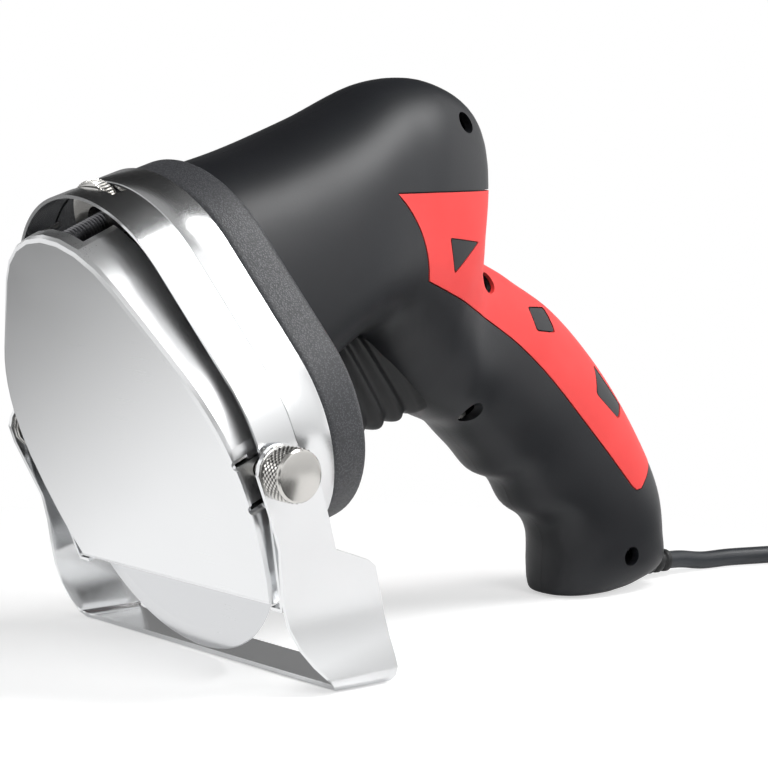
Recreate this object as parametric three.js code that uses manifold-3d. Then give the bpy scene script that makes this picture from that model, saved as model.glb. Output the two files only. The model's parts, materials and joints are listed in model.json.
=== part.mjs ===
// An electric kebab slicer: a round blade behind a tilting guard plate, a gear head, a motor barrel with a
// pistol grip, a fold-down stand and a mains lead put away in a coil.
// Inside the machine group x is across, y runs back along the blade axis and z is up from the blade centre.

import * as THREE from 'three';
import { mergeVertices } from 'three/addons/utils/BufferGeometryUtils.js';
import Module from 'manifold-3d';

const wasm = await Module();
wasm.setup();

// Driving dimensions in millimetres and degrees.

// Clearances
const GAP = 0.3;
const RUNNING_GAP = 1.9;

// Stance
const PITCH = 17;

// Blade and spindle
const BLADE_RADIUS = 50;
const BLADE_SINK = 2.5;
const BLADE_HEIGHT = BLADE_RADIUS - BLADE_SINK;
const BLADE_THICKNESS = 1.5;
const BLADE_FRONT = 6.3;
const BLADE_BEVEL = 7;
const NUT_RADIUS = 7.5;
const NUT_HEIGHT = 3;
const SPINDLE_RADIUS = 4;
const FLANGE_RADIUS = 9;
const FLANGE_THICKNESS = 1.5;

// Guard plate
const GUARD_TILT = 6;
const SHEET = 1.2;
const PLATE_DOME_RADIUS = 34;
const PLATE_DOME_V = 45.2;
const PLATE_SIDE_GAP = 4.8;
const PLATE_SIDE_RADIUS = BLADE_RADIUS + PLATE_SIDE_GAP;
const PLATE_SIDE_V = 10;
const PLATE_CHORD_V = -27.5;
const PLATE_CHORD_HALF = BLADE_RADIUS - 3.7;
const PLATE_BEND = 1.6;
const RIM_REAR_TOP = 6.5;
const RIM_REAR_BOTTOM = 12;
const NOTCH_HALF = 13.4;
const NOTCH_FRONT = 5;
const EAR_BELOW = 7;
const EAR_ABOVE = 4;
const EAR_INSET = 2;
const EAR_RELIEF_RADIUS = 1.6;
const EAR_DEPTH = 13.2;

// Pivot of the guard and the stand
const PIVOT_B = 7.5;
const PIVOT_V = 11.7;
const STUD_RADIUS = 2.5;
const STUD_INNER_U = BLADE_RADIUS + 1.5;
const KNOB_RADIUS = 7.4;
const KNOB_THICKNESS = 7.3;
const PIVOT_HEAD_RADIUS = 5.2;
const PIVOT_HEAD_THICKNESS = 1.8;
const WASHER_RADIUS = 6.5;
const WASHER_THICKNESS = 0.8;

// Gear head
const HEAD_DOME_RADIUS = 40.5;
const HEAD_DOME_V = 45;
const HEAD_CORNER_RADIUS = 36.5;
const HEAD_SIDE_GAP = 3.7;
const HEAD_CORNER_U = PLATE_SIDE_RADIUS + HEAD_SIDE_GAP - HEAD_CORNER_RADIUS;
const HEAD_CORNER_V = 17;
const SLEEVE_FRONT = 4;
const SLEEVE_SHEET = 1;
const SLEEVE_TAPER = 12.5;
const SLEEVE_BOTTOM_V = -29;
const SLEEVE_TAB = 4.5;
const HEAD_FRONT = 14.5;
const HEAD_WALL = 3.5;
const RING_SHEET = 1.2;
const RING_FRONT = 16;
const BODY_FRONT = 27;
const HEAD_REAR = 40;
const HEAD_EDGE_RADIUS = 2.4;
const COVER_FRONT = 35;
const COVER_THICKNESS = 4;

// Slice adjuster
const ROD_RADIUS = 3;
const ROD_INSET = 9.5;
const ROD_V = HEAD_DOME_V + HEAD_DOME_RADIUS - ROD_INSET;
const ROD_END_B = 21;
const WHEEL_RADIUS = 12;
const WHEEL_THICKNESS = 3.2;
const WHEEL_FLUTES = 30;
const CLIP_SHEET = 1.4;
const CLIP_HALF = 8;
const CLIP_RISE = 7;

// Gears: the motor pinion drives the idler, and the idler's small gear drives the spindle
const FINE_MODULE = 1;
const COARSE_MODULE = 1;
const PINION_TEETH = 10;
const IDLER_LARGE_TEETH = 35;
const IDLER_SMALL_TEETH = 20;
const SPINDLE_TEETH = 28;
const GEAR_WIDTH = 4.5;
const GEAR_FRONT = 19.5;
const GEAR_STEP = 5.5;
const BACKLASH = 0.35;
const MOTOR_V = 46;
const IDLER_PIN_RADIUS = 2.5;

// Bearings
const BEARING_RADIUS = 9.5;
const BEARING_WIDTH = 6;
const HUB_WALL = 3;

// Motor
const SHAFT_RADIUS = 3.5;
const STATOR_RADIUS = 19.5;
const STATOR_BORE = 11.5;
const STATOR_FRONT = 63;
const STATOR_LENGTH = 36;
const STATOR_BACK_IRON = 3.5;
const COIL_OVERHANG = 4;
const AIR_GAP = 0.5;
const FAN_RADIUS = 18;
const FAN_FRONT = 47;
const FAN_LENGTH = 8;
const COMMUTATOR_RADIUS = 8;
const COMMUTATOR_FRONT = 105;
const COMMUTATOR_LENGTH = 9;
const BRUSH_LENGTH = 9;
const BRUSH_HALF = 2.5;
const HOLDER_WALL = 1.5;
const REAR_BEARING_FRONT = 118;

// Housing shell
const WALL = 2.8;
const RIB = 2.4;
const GRIP_DEPTH = 1.3;
const SCREW_HEAD_RADIUS = 2.8;
const SCREW_RADIUS = 1.5;
const SCREW_HEAD_HEIGHT = 2;
const BOSS_WALL = 2;
const BOSS_SEAT_U = 8;

// Trigger
const TRIGGER_HALF = 7;
const TRIGGER_PIN_B = 84;
const TRIGGER_PIN_V = 21.5;
const TRIGGER_PIN_RADIUS = 2;
const TRIGGER_PIN_HALF = 12;
const BOOT_HALF = 13;
const BOOT_WALL = 1.6;
const BOOT_PLEATS = 3;
const BOOT_POINTS = 14;
const BOOT_PLEAT_DEPTH = 1.5;
const SPRING_TURNS = 4;
const SPRING_RADIUS = 3.2;
const SPRING_WIRE = 0.5;

// Stand
const STAND_SHEET = 1.4;
const ARM_END_RADIUS = 8;
const BAR_FRONT = 18.8;
const BAR_REAR = 36.3;
const FLANGE_WIDTH = 2;

// Lead
const CORD_RADIUS = 2.9;
const RELIEF_LENGTH = 13;
const RELIEF_RADIUS = 4.5;
const RELIEF_TIP_RADIUS = 3.7;
const RELIEF_RIBS = 3;
const RELIEF_SEAT = 4;
const RELIEF_DROP = 4;
const RELIEF_Y = 195;
const RELIEF_HEIGHT = 5.6;
const COIL_PITCH = 6.4;
const COIL_TURNS = 3.5;
const COIL_OUTER = 46;
const COIL_X = 61;
const COIL_Y = 282;
const COIL_TAIL = 44;
const TIE_SHEET = 0.8;
const TIE_WIDTH = 9;
const PLUG_LENGTH = 36;

// Materials

const metal = (color, roughness) => new THREE.MeshStandardMaterial({ color, roughness, metalness: 1 });
const matte = (color, roughness) => new THREE.MeshStandardMaterial({ color, roughness, metalness: 0 });

const polished = () => metal(0xd9dadb, 0.22);
const brushed = () => metal(0xb9bbbd, 0.4);
const plated = () => metal(0xc9cacc, 0.3);
const charcoal = () => matte(0x3e3f42, 0.55);
const castBlack = () => matte(0x37383b, 0.6);
const redRubber = () => matte(0xf4514f, 0.65);
const blackRubber = () => matte(0x2b2c2e, 0.8);
const cordRubber = () => matte(0x3a3f47, 0.7);
const copper = () => metal(0xb56a3b, 0.4);
const bakelite = () => matte(0x4a2f22, 0.5);

// Solids and their joins

const CURVE_STEPS = 4;

const deg = THREE.MathUtils.degToRad;
const at = (x, y, z) => new THREE.Vector3(x, y, z);

function signedVolume(points, triangles) {
  const corner = (k) => at(points[3 * k], points[3 * k + 1], points[3 * k + 2]);
  let volume = 0;
  for (let i = 0; i < triangles.length; i += 3) {
    const a = corner(triangles[i]);
    const b = corner(triangles[i + 1]);
    const c = corner(triangles[i + 2]);
    volume += a.dot(b.cross(c)) / 6;
  }
  return volume;
}

function solid(geometry) {
  const bare = geometry.clone();
  bare.deleteAttribute('normal');
  bare.deleteAttribute('uv');
  const welded = mergeVertices(bare, 1e-3);
  const vertProperties = new Float32Array(welded.attributes.position.array);
  const triVerts = new Uint32Array(welded.index.array);
  if (signedVolume(vertProperties, triVerts) < 0) {
    triVerts.reverse();
  }
  const mesh = new wasm.Mesh({ numProp: 3, vertProperties, triVerts });
  mesh.merge();
  return new wasm.Manifold(mesh);
}

function piece(name, shape, material) {
  const body = shape.isBufferGeometry ? solid(shape) : shape;
  const mesh = body.getMesh();
  const geometry = new THREE.BufferGeometry();
  geometry.setAttribute('position', new THREE.BufferAttribute(new Float32Array(mesh.vertProperties), 3));
  geometry.setIndex(new THREE.BufferAttribute(new Uint32Array(mesh.triVerts), 1));
  geometry.computeVertexNormals();
  const result = new THREE.Mesh(geometry, material);
  result.name = name;
  return result;
}

const union = (bodies) => bodies.reduce((sum, body) => sum.add(body));

// An outline in x and z, drawn back from one y to another.
function slab(shape, front, rear, options = {}) {
  const settings = { depth: rear - front, bevelEnabled: false, curveSegments: CURVE_STEPS, ...options };
  const geometry = new THREE.ExtrudeGeometry(shape, settings);
  geometry.rotateX(Math.PI / 2);
  geometry.translate(0, rear, 0);
  return solid(geometry);
}

// An outline in y and z, drawn across from one x to another.
function side(shape, left, right) {
  const geometry = new THREE.ExtrudeGeometry(shape, { depth: right - left, bevelEnabled: false, curveSegments: CURVE_STEPS });
  geometry.applyMatrix4(new THREE.Matrix4().makeBasis(at(0, 1, 0), at(0, 0, 1), at(1, 0, 0)));
  geometry.translate(left, 0, 0);
  return solid(geometry);
}

function block(from, to) {
  const geometry = new THREE.BoxGeometry(to.x - from.x, to.y - from.y, to.z - from.z);
  geometry.translate((from.x + to.x) / 2, (from.y + to.y) / 2, (from.z + to.z) / 2);
  return solid(geometry);
}

function rod(radius, from, to, sides = 16) {
  const along = to.clone().sub(from);
  const geometry = new THREE.CylinderGeometry(radius, radius, along.length(), sides);
  geometry.applyQuaternion(new THREE.Quaternion().setFromUnitVectors(at(0, 1, 0), along.clone().normalize()));
  geometry.translate((from.x + to.x) / 2, (from.y + to.y) / 2, (from.z + to.z) / 2);
  return solid(geometry);
}

// A round hole whose facets stay outside its radius.
function bore(radius, from, to, sides = 16) {
  return rod(radius / Math.cos(Math.PI / sides), from, to, sides);
}

// A turned piece: a profile of [radius, distance along the axis] pairs from a start point.
function turned(profile, start, direction, sides = 24) {
  const points = profile.map(([radius, along]) => new THREE.Vector2(radius, along));
  const geometry = new THREE.LatheGeometry(points, sides);
  geometry.applyQuaternion(new THREE.Quaternion().setFromUnitVectors(at(0, 1, 0), direction.clone().normalize()));
  geometry.translate(start.x, start.y, start.z);
  return solid(geometry);
}

const polygon = (points) => new THREE.Shape(points.map(([x, y]) => new THREE.Vector2(x, y)));

// Rings of points skinned into one closed body.
function skin(rings) {
  const count = rings[0].length;
  const positions = rings.flat().flatMap((point) => [point.x, point.y, point.z]);
  const triangles = [];
  for (let i = 0; i + 1 < rings.length; i += 1) {
    for (let j = 0; j < count; j += 1) {
      const a = i * count + j;
      const b = i * count + ((j + 1) % count);
      triangles.push(a, b, a + count, b, b + count, a + count);
    }
  }
  for (const end of [0, rings.length - 1]) {
    const middle = rings[end].reduce((sum, point) => sum.add(point), at(0, 0, 0)).divideScalar(count);
    const centre = positions.length / 3;
    positions.push(middle.x, middle.y, middle.z);
    for (let j = 0; j < count; j += 1) {
      const a = end * count + j;
      const b = end * count + ((j + 1) % count);
      triangles.push(...(end === 0 ? [b, a, centre] : [a, b, centre]));
    }
  }
  const geometry = new THREE.BufferGeometry();
  geometry.setAttribute('position', new THREE.Float32BufferAttribute(positions, 3));
  geometry.setIndex(triangles);
  return solid(geometry);
}

function circle(radius, sides) {
  const points = [];
  for (let i = 0; i < sides; i += 1) {
    const angle = (2 * Math.PI * i) / sides;
    points.push([radius * Math.cos(angle), radius * Math.sin(angle)]);
  }
  return polygon(points);
}

function tube(route, radius, sides, steps) {
  const path = new THREE.CatmullRomCurve3(route);
  const settings = { steps, bevelEnabled: false, extrudePath: path };
  return solid(new THREE.ExtrudeGeometry(circle(radius, sides), settings));
}

// Frames shared by the pieces

const tilt = deg(GUARD_TILT);
const pitch = deg(PITCH);

const toWorld = (y, z) => [y * Math.cos(pitch) - z * Math.sin(pitch), y * Math.sin(pitch) + z * Math.cos(pitch)];
const toMachine = (y, z) => [y * Math.cos(pitch) + z * Math.sin(pitch), z * Math.cos(pitch) - y * Math.sin(pitch)];
const toGuard = (y, z) => [y * Math.cos(tilt) + z * Math.sin(tilt), z * Math.cos(tilt) - y * Math.sin(tilt)];

const [pivotY, pivotZ] = toWorld(PIVOT_B, PIVOT_V);
const [guardPivotB, guardPivotV] = toGuard(PIVOT_B, PIVOT_V);
const floorZ = -BLADE_HEIGHT;

// Outlines

// The angle of the outward normal of the straight flank between two round stretches.
function flankAngle(cornerU, cornerV, cornerRadius, domeV, domeRadius) {
  const across = -cornerU;
  const rise = domeV - cornerV;
  const apart = Math.hypot(across, rise);
  return Math.atan2(rise, across) - Math.acos((cornerRadius - domeRadius) / apart);
}

const headFlank = flankAngle(HEAD_CORNER_U, HEAD_CORNER_V, HEAD_CORNER_RADIUS, HEAD_DOME_V, HEAD_DOME_RADIUS);

function headOutline(grow) {
  const corner = HEAD_CORNER_RADIUS + grow;
  const shape = new THREE.Shape();
  shape.moveTo(HEAD_CORNER_U, HEAD_CORNER_V - corner);
  shape.absarc(HEAD_CORNER_U, HEAD_CORNER_V, corner, -Math.PI / 2, headFlank, false);
  shape.absarc(0, HEAD_DOME_V, HEAD_DOME_RADIUS + grow, headFlank, Math.PI - headFlank, false);
  shape.absarc(-HEAD_CORNER_U, HEAD_CORNER_V, corner, Math.PI - headFlank, 1.5 * Math.PI, false);
  shape.closePath();
  return shape;
}

function sleeveOutline(grow, bottom) {
  const corner = HEAD_CORNER_RADIUS + grow;
  const taper = deg(SLEEVE_TAPER);
  const startU = HEAD_CORNER_U + corner * Math.cos(taper);
  const startV = HEAD_CORNER_V - corner * Math.sin(taper);
  const endU = startU - (startV - bottom) * Math.tan(taper);
  const shape = new THREE.Shape();
  shape.moveTo(endU, bottom);
  shape.lineTo(startU, startV);
  shape.absarc(HEAD_CORNER_U, HEAD_CORNER_V, corner, -taper, headFlank, false);
  shape.absarc(0, HEAD_DOME_V, HEAD_DOME_RADIUS + grow, headFlank, Math.PI - headFlank, false);
  shape.absarc(-HEAD_CORNER_U, HEAD_CORNER_V, corner, Math.PI - headFlank, Math.PI + taper, false);
  shape.lineTo(-endU, bottom);
  shape.closePath();
  return shape;
}

// The half-width of the sleeve's outside at a height on its tapered side.
function sleeveHalf(v) {
  const corner = HEAD_CORNER_RADIUS + SLEEVE_SHEET + GAP;
  const taper = deg(SLEEVE_TAPER);
  const startV = HEAD_CORNER_V - corner * Math.sin(taper);
  return HEAD_CORNER_U + corner * Math.cos(taper) - (startV - v) * Math.tan(taper);
}

function plateOutline(grow, drop) {
  const sideRadius = PLATE_SIDE_RADIUS + grow;
  const flank = flankAngle(0, PLATE_SIDE_V, PLATE_SIDE_RADIUS, PLATE_DOME_V, PLATE_DOME_RADIUS);
  const low = -deg(4);
  const lowU = sideRadius * Math.cos(low);
  const lowV = PLATE_SIDE_V + sideRadius * Math.sin(low);
  const chordHalf = PLATE_CHORD_HALF + grow;
  const bowV = PLATE_CHORD_V / 2;
  const bowU = (lowU + chordHalf) / 2 + 2;
  const shape = new THREE.Shape();
  shape.moveTo(chordHalf, PLATE_CHORD_V - drop);
  shape.lineTo(chordHalf, PLATE_CHORD_V);
  shape.quadraticCurveTo(bowU, bowV, lowU, lowV);
  shape.absarc(0, PLATE_SIDE_V, sideRadius, low, flank, false);
  shape.absarc(0, PLATE_DOME_V, PLATE_DOME_RADIUS + grow, flank, Math.PI - flank, false);
  shape.absarc(0, PLATE_SIDE_V, sideRadius, Math.PI - flank, Math.PI - low, false);
  shape.quadraticCurveTo(-bowU, bowV, -chordHalf, PLATE_CHORD_V);
  shape.lineTo(-chordHalf, PLATE_CHORD_V - drop);
  shape.closePath();
  return shape;
}

// A spur gear outline with straight flanks between the ends of the true involute.
function gearOutline(teeth, size, turn) {
  const pitchRadius = (teeth * size) / 2;
  const base = pitchRadius * Math.cos(deg(20));
  const root = pitchRadius - 1.25 * size;
  const tip = pitchRadius + 0.9 * size;
  const involute = (radius) => {
    const pressure = Math.acos(Math.min(1, base / radius));
    return Math.tan(pressure) - pressure;
  };
  const half = (radius) => {
    const share = Math.PI / (2 * teeth) - BACKLASH / (2 * pitchRadius);
    return share + involute(pitchRadius) - involute(Math.max(radius, base));
  };
  const points = [];
  for (let i = 0; i < teeth; i += 1) {
    const middle = turn + (2 * Math.PI * i) / teeth;
    const corners = [[root, -half(root)], [tip, -half(tip)], [tip, half(tip)], [root, half(root)]];
    for (const [radius, offset] of corners) {
      points.push([radius * Math.cos(middle + offset), radius * Math.sin(middle + offset)]);
    }
  }
  return polygon(points);
}

// The guard plate, drawn flat in its own tilted frame

function frontPlate() {
  const depth = 30;
  const bend = { bevelEnabled: true, bevelSize: PLATE_BEND, bevelOffset: -PLATE_BEND,
    bevelThickness: PLATE_BEND, bevelSegments: 2 };
  const outer = slab(plateOutline(0, 0), PLATE_BEND, depth, bend);
  const inner = slab(plateOutline(-SHEET, 10), SHEET, depth + 10);
  const [topB, topV] = toGuard(RIM_REAR_TOP, 100);
  const [bottomB, bottomV] = toGuard(RIM_REAR_BOTTOM, -60);
  const kept = side(polygon([[-5, bottomV], [bottomB, bottomV], [topB, topV], [-5, topV]]), -80, 80);
  const notch = block(at(-NOTCH_HALF, NOTCH_FRONT, PLATE_DOME_V), at(NOTCH_HALF, depth, 100));
  const bottomCut = block(at(-80, -5, PLATE_CHORD_V - 20), at(80, depth + 20, PLATE_CHORD_V));
  let plate = outer.subtract(inner).intersect(kept).subtract(notch).subtract(bottomCut);
  for (const sign of [-1, 1]) {
    plate = addEar(plate, sign);
  }
  return plate;
}

// An ear set in from the rim carries the pivot. Slits with round reliefs part it from the rim.
function addEar(plate, sign) {
  const low = guardPivotV - EAR_BELOW;
  const high = guardPivotV + EAR_ABOVE;
  const outside = PLATE_SIDE_RADIUS - EAR_INSET;
  const span = (a, b) => [Math.min(sign * a, sign * b), Math.max(sign * a, sign * b)];
  const [rimA, rimB] = span(outside - SHEET - 4, PLATE_SIDE_RADIUS + 4);
  const opening = block(at(rimA, SHEET, low - SHEET), at(rimB, 40, high + SHEET));
  const [earA, earB] = span(outside - SHEET, outside);
  const ear = block(at(earA, SHEET / 2, low), at(earB, EAR_DEPTH, high));
  let result = plate.subtract(opening).add(ear);
  for (const v of [low - SHEET, high + SHEET]) {
    const relief = bore(EAR_RELIEF_RADIUS, at(sign * PLATE_SIDE_RADIUS, -5, v), at(sign * PLATE_SIDE_RADIUS, 5, v), 12);
    result = result.subtract(relief);
  }
  const hole = bore(STUD_RADIUS + GAP, at(sign * 40, guardPivotB, guardPivotV), at(sign * 70, guardPivotB, guardPivotV));
  return result.subtract(hole);
}

// The threaded rod stands on the back of the plate, in line with the thumbwheel.
const wheelRear = HEAD_FRONT - GAP;
const wheelFront = wheelRear - WHEEL_THICKNESS;
const [, rodGuardV] = toGuard((wheelFront + wheelRear) / 2, ROD_V);
const [rodGuardEnd] = toGuard(ROD_END_B, ROD_V);

function adjustRod() {
  return rod(ROD_RADIUS, at(0, SHEET + GAP, rodGuardV), at(0, rodGuardEnd, rodGuardV));
}

function thumbwheel() {
  const points = [];
  for (let i = 0; i < 2 * WHEEL_FLUTES; i += 1) {
    const angle = (Math.PI * i) / WHEEL_FLUTES;
    const radius = WHEEL_RADIUS - (i % 2 === 0 ? 0 : 0.7);
    points.push([radius * Math.cos(angle), ROD_V + radius * Math.sin(angle)]);
  }
  const wheel = slab(polygon(points), wheelFront, wheelRear);
  return wheel.subtract(bore(ROD_RADIUS + RUNNING_GAP, at(0, 0, ROD_V), at(0, 40, ROD_V)));
}

// A bent clip on the gear housing keeps the thumbwheel from moving forward.
function wheelClip() {
  const rear = HEAD_FRONT - GAP;
  const front = wheelFront - GAP - CLIP_SHEET;
  const seat = ROD_V - WHEEL_RADIUS - 2 * GAP;
  const top = seat + CLIP_RISE;
  const low = seat - CLIP_SHEET;
  const profile = [[front, low], [rear, low], [rear, seat], [front + CLIP_SHEET, seat],
    [front + CLIP_SHEET, top], [front, top]];
  return side(polygon(profile), -CLIP_HALF, CLIP_HALF);
}

// Cutting parts

const bladeRear = BLADE_FRONT + BLADE_THICKNESS;
const axis = at(0, 1, 0);
const centre = at(0, 0, 0);

function blade() {
  const bore = SPINDLE_RADIUS + GAP;
  const profile = [[bore, BLADE_FRONT], [bore, bladeRear], [BLADE_RADIUS, bladeRear],
    [BLADE_RADIUS, bladeRear - BLADE_THICKNESS / 4], [BLADE_RADIUS - BLADE_BEVEL, BLADE_FRONT], [bore, BLADE_FRONT]];
  return turned(profile, centre, axis, 44);
}

function bladeNut() {
  const front = BLADE_FRONT - GAP - NUT_HEIGHT;
  const nut = slab(circle(NUT_RADIUS, 6), front, BLADE_FRONT - GAP);
  return nut.subtract(bore(SPINDLE_RADIUS + GAP, at(0, front + 1, 0), at(0, 20, 0)));
}

const frontBearing = bladeRear + GAP + FLANGE_THICKNESS + GAP;
const rearBearing = COVER_FRONT + COVER_THICKNESS - BEARING_WIDTH - GAP;
const spindleRear = COVER_FRONT + COVER_THICKNESS - GAP;

function bladeSpindle() {
  const front = BLADE_FRONT - NUT_HEIGHT + 1;
  const flange = bladeRear + GAP;
  const profile = [[0, front], [SPINDLE_RADIUS, front], [SPINDLE_RADIUS, flange], [FLANGE_RADIUS, flange],
    [FLANGE_RADIUS, flange + FLANGE_THICKNESS], [SPINDLE_RADIUS, flange + FLANGE_THICKNESS],
    [SPINDLE_RADIUS, spindleRear], [0, spindleRear]];
  return turned(profile, centre, axis, 16);
}

function bearing(shaftRadius, front, v) {
  const inner = shaftRadius + GAP;
  const profile = [[inner, 0], [BEARING_RADIUS, 0], [BEARING_RADIUS, BEARING_WIDTH],
    [inner, BEARING_WIDTH], [inner, 0]];
  return turned(profile, at(0, front, v), axis, 16);
}

// Gear train

const coarseApart = (COARSE_MODULE * (SPINDLE_TEETH + IDLER_SMALL_TEETH)) / 2;
const fineApart = (FINE_MODULE * (PINION_TEETH + IDLER_LARGE_TEETH)) / 2;
const idlerV = (coarseApart ** 2 - fineApart ** 2 + MOTOR_V ** 2) / (2 * MOTOR_V);
const idlerU = Math.sqrt(coarseApart ** 2 - idlerV ** 2);
const coarseLine = Math.atan2(idlerV, idlerU);
const fineLine = Math.atan2(MOTOR_V - idlerV, -idlerU);
const fineFront = GEAR_FRONT + GEAR_STEP;

function spindleGear() {
  const gear = slab(gearOutline(SPINDLE_TEETH, COARSE_MODULE, coarseLine), GEAR_FRONT, GEAR_FRONT + GEAR_WIDTH);
  return gear.subtract(bore(SPINDLE_RADIUS + GAP, at(0, 0, 0), at(0, 60, 0)));
}

function idlerGear() {
  const small = IDLER_SMALL_TEETH;
  const smallTurn = coarseLine + Math.PI + Math.PI / small;
  const pinionGear = slab(gearOutline(small, COARSE_MODULE, smallTurn), GEAR_FRONT, fineFront + 1);
  const wheel = slab(gearOutline(IDLER_LARGE_TEETH, FINE_MODULE, fineLine), fineFront, fineFront + GEAR_WIDTH);
  const bored = pinionGear.add(wheel).subtract(bore(IDLER_PIN_RADIUS + GAP, at(0, 0, 0), at(0, 60, 0)));
  return bored.translate([idlerU, 0, idlerV]);
}

function idlerPin() {
  return rod(IDLER_PIN_RADIUS, at(idlerU, HEAD_FRONT + 1, idlerV), at(idlerU, COVER_FRONT + 2, idlerV), 16);
}

// Gear head

const coverScrews = [[27, 56], [-27, 56], [40, 4], [-40, 4]];
const screwBoss = SCREW_RADIUS + GAP + BOSS_WALL;
const hubRadius = BEARING_RADIUS + GAP + HUB_WALL;
const headInside = HEAD_FRONT + HEAD_WALL;

function gearHousing() {
  const round = { bevelEnabled: true, bevelSize: HEAD_EDGE_RADIUS, bevelOffset: -HEAD_EDGE_RADIUS,
    bevelThickness: HEAD_EDGE_RADIUS, bevelSegments: 1 };
  const bodyRing = slab(headOutline(0), BODY_FRONT + HEAD_EDGE_RADIUS, HEAD_REAR - HEAD_EDGE_RADIUS, round);
  const spigot = slab(headOutline(-GAP), HEAD_FRONT, BODY_FRONT + 5);
  const cavity = slab(headOutline(-HEAD_WALL - GAP), headInside, HEAD_REAR + 1);
  const hub = rod(hubRadius, at(0, frontBearing - 0.2, 0), at(0, headInside, 0), 16);
  let housing = bodyRing.add(spigot).subtract(cavity).add(hub);
  const seat = frontBearing + BEARING_WIDTH + GAP;
  housing = housing.subtract(bore(BEARING_RADIUS + GAP, at(0, 0, 0), at(0, seat, 0)));
  housing = housing.subtract(bore(SPINDLE_RADIUS + 1, at(0, 0, 0), at(0, 60, 0)));
  for (const [u, v] of coverScrews) {
    const boss = rod(screwBoss, at(u, headInside - 1, v), at(u, COVER_FRONT - GAP, v), 10);
    const pilot = bore(SCREW_RADIUS + GAP, at(u, COVER_FRONT - 12, v), at(u, 60, v), 8);
    housing = housing.add(boss).subtract(pilot);
  }
  const pinHole = bore(IDLER_PIN_RADIUS + GAP, at(idlerU, HEAD_FRONT + 1 - GAP, idlerV), at(idlerU, 60, idlerV), 10);
  const rodHole = bore(ROD_RADIUS + RUNNING_GAP, at(0, 0, ROD_V), at(0, headInside + 1, ROD_V));
  return housing.subtract(pinHole).subtract(rodHole);
}

function gearCover() {
  const rear = COVER_FRONT + COVER_THICKNESS;
  const plate = slab(headOutline(-HEAD_WALL - 2 * GAP), COVER_FRONT, rear);
  const spindleHub = rod(hubRadius, at(0, rearBearing - 1, 0), at(0, rear, 0), 16);
  const motorHub = rod(hubRadius, at(0, COVER_FRONT, MOTOR_V), at(0, motorBearing + BEARING_WIDTH, MOTOR_V), 16);
  let cover = plate.add(spindleHub).add(motorHub);
  const pocket = BEARING_RADIUS + GAP;
  cover = cover.subtract(bore(pocket, at(0, rearBearing - GAP, 0), at(0, 60, 0)));
  cover = cover.subtract(bore(SPINDLE_RADIUS + 1, at(0, 20, 0), at(0, 60, 0)));
  cover = cover.subtract(bore(pocket, at(0, motorBearing - GAP, MOTOR_V), at(0, 60, MOTOR_V)));
  cover = cover.subtract(bore(SHAFT_RADIUS + 1, at(0, 20, MOTOR_V), at(0, 60, MOTOR_V)));
  const pinEnd = COVER_FRONT + 2 + GAP;
  cover = cover.subtract(bore(IDLER_PIN_RADIUS + GAP, at(idlerU, 20, idlerV), at(idlerU, pinEnd, idlerV), 10));
  for (const [u, v] of coverScrews) {
    cover = cover.subtract(bore(SCREW_RADIUS + GAP, at(u, 20, v), at(u, 60, v), 8));
  }
  return cover;
}

function coverScrew([u, v]) {
  const head = COVER_FRONT + COVER_THICKNESS + GAP;
  const profile = [[0, head - 14], [SCREW_RADIUS, head - 14], [SCREW_RADIUS, head], [SCREW_HEAD_RADIUS, head],
    [SCREW_HEAD_RADIUS, head + SCREW_HEAD_HEIGHT], [0, head + SCREW_HEAD_HEIGHT]];
  return turned(profile, at(u, 0, v), axis, 8);
}

function steelRing() {
  const rear = BODY_FRONT - GAP;
  const outer = slab(headOutline(RING_SHEET), RING_FRONT, rear);
  return outer.subtract(slab(headOutline(0), RING_FRONT - 1, rear + 1));
}

function guardSleeve() {
  const rear = RING_FRONT - GAP;
  const outer = slab(sleeveOutline(SLEEVE_SHEET, SLEEVE_BOTTOM_V), SLEEVE_FRONT, rear);
  const inner = slab(sleeveOutline(0, SLEEVE_BOTTOM_V - 10), SLEEVE_FRONT - 1, rear + 1);
  let sleeve = outer.subtract(inner);
  const reach = sleeveHalf(SLEEVE_BOTTOM_V) - SLEEVE_SHEET / 2 - GAP;
  for (const sign of [-1, 1]) {
    const near = Math.min(sign * reach, sign * (reach - SLEEVE_TAB));
    const tab = block(at(near, SLEEVE_FRONT, SLEEVE_BOTTOM_V), at(near + SLEEVE_TAB, rear, SLEEVE_BOTTOM_V + SLEEVE_SHEET));
    const hole = bore(STUD_RADIUS + GAP, at(sign * 40, PIVOT_B, PIVOT_V), at(sign * 70, PIVOT_B, PIVOT_V));
    sleeve = sleeve.add(tab).subtract(hole);
  }
  const slit = block(at(-WHEEL_RADIUS, wheelFront - 2 * GAP, ROD_V), at(WHEEL_RADIUS, rear - 1, 120));
  return sleeve.subtract(slit);
}

// Stand with its pivot on both sides of the head

const washerInner = HEAD_CORNER_U + HEAD_CORNER_RADIUS + SLEEVE_SHEET + GAP;
const armInner = washerInner + WASHER_THICKNESS + GAP;
const armU = armInner + STAND_SHEET / 2;
const armOuter = armInner + STAND_SHEET;
const barZ = floorZ + STAND_SHEET / 2;

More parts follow.
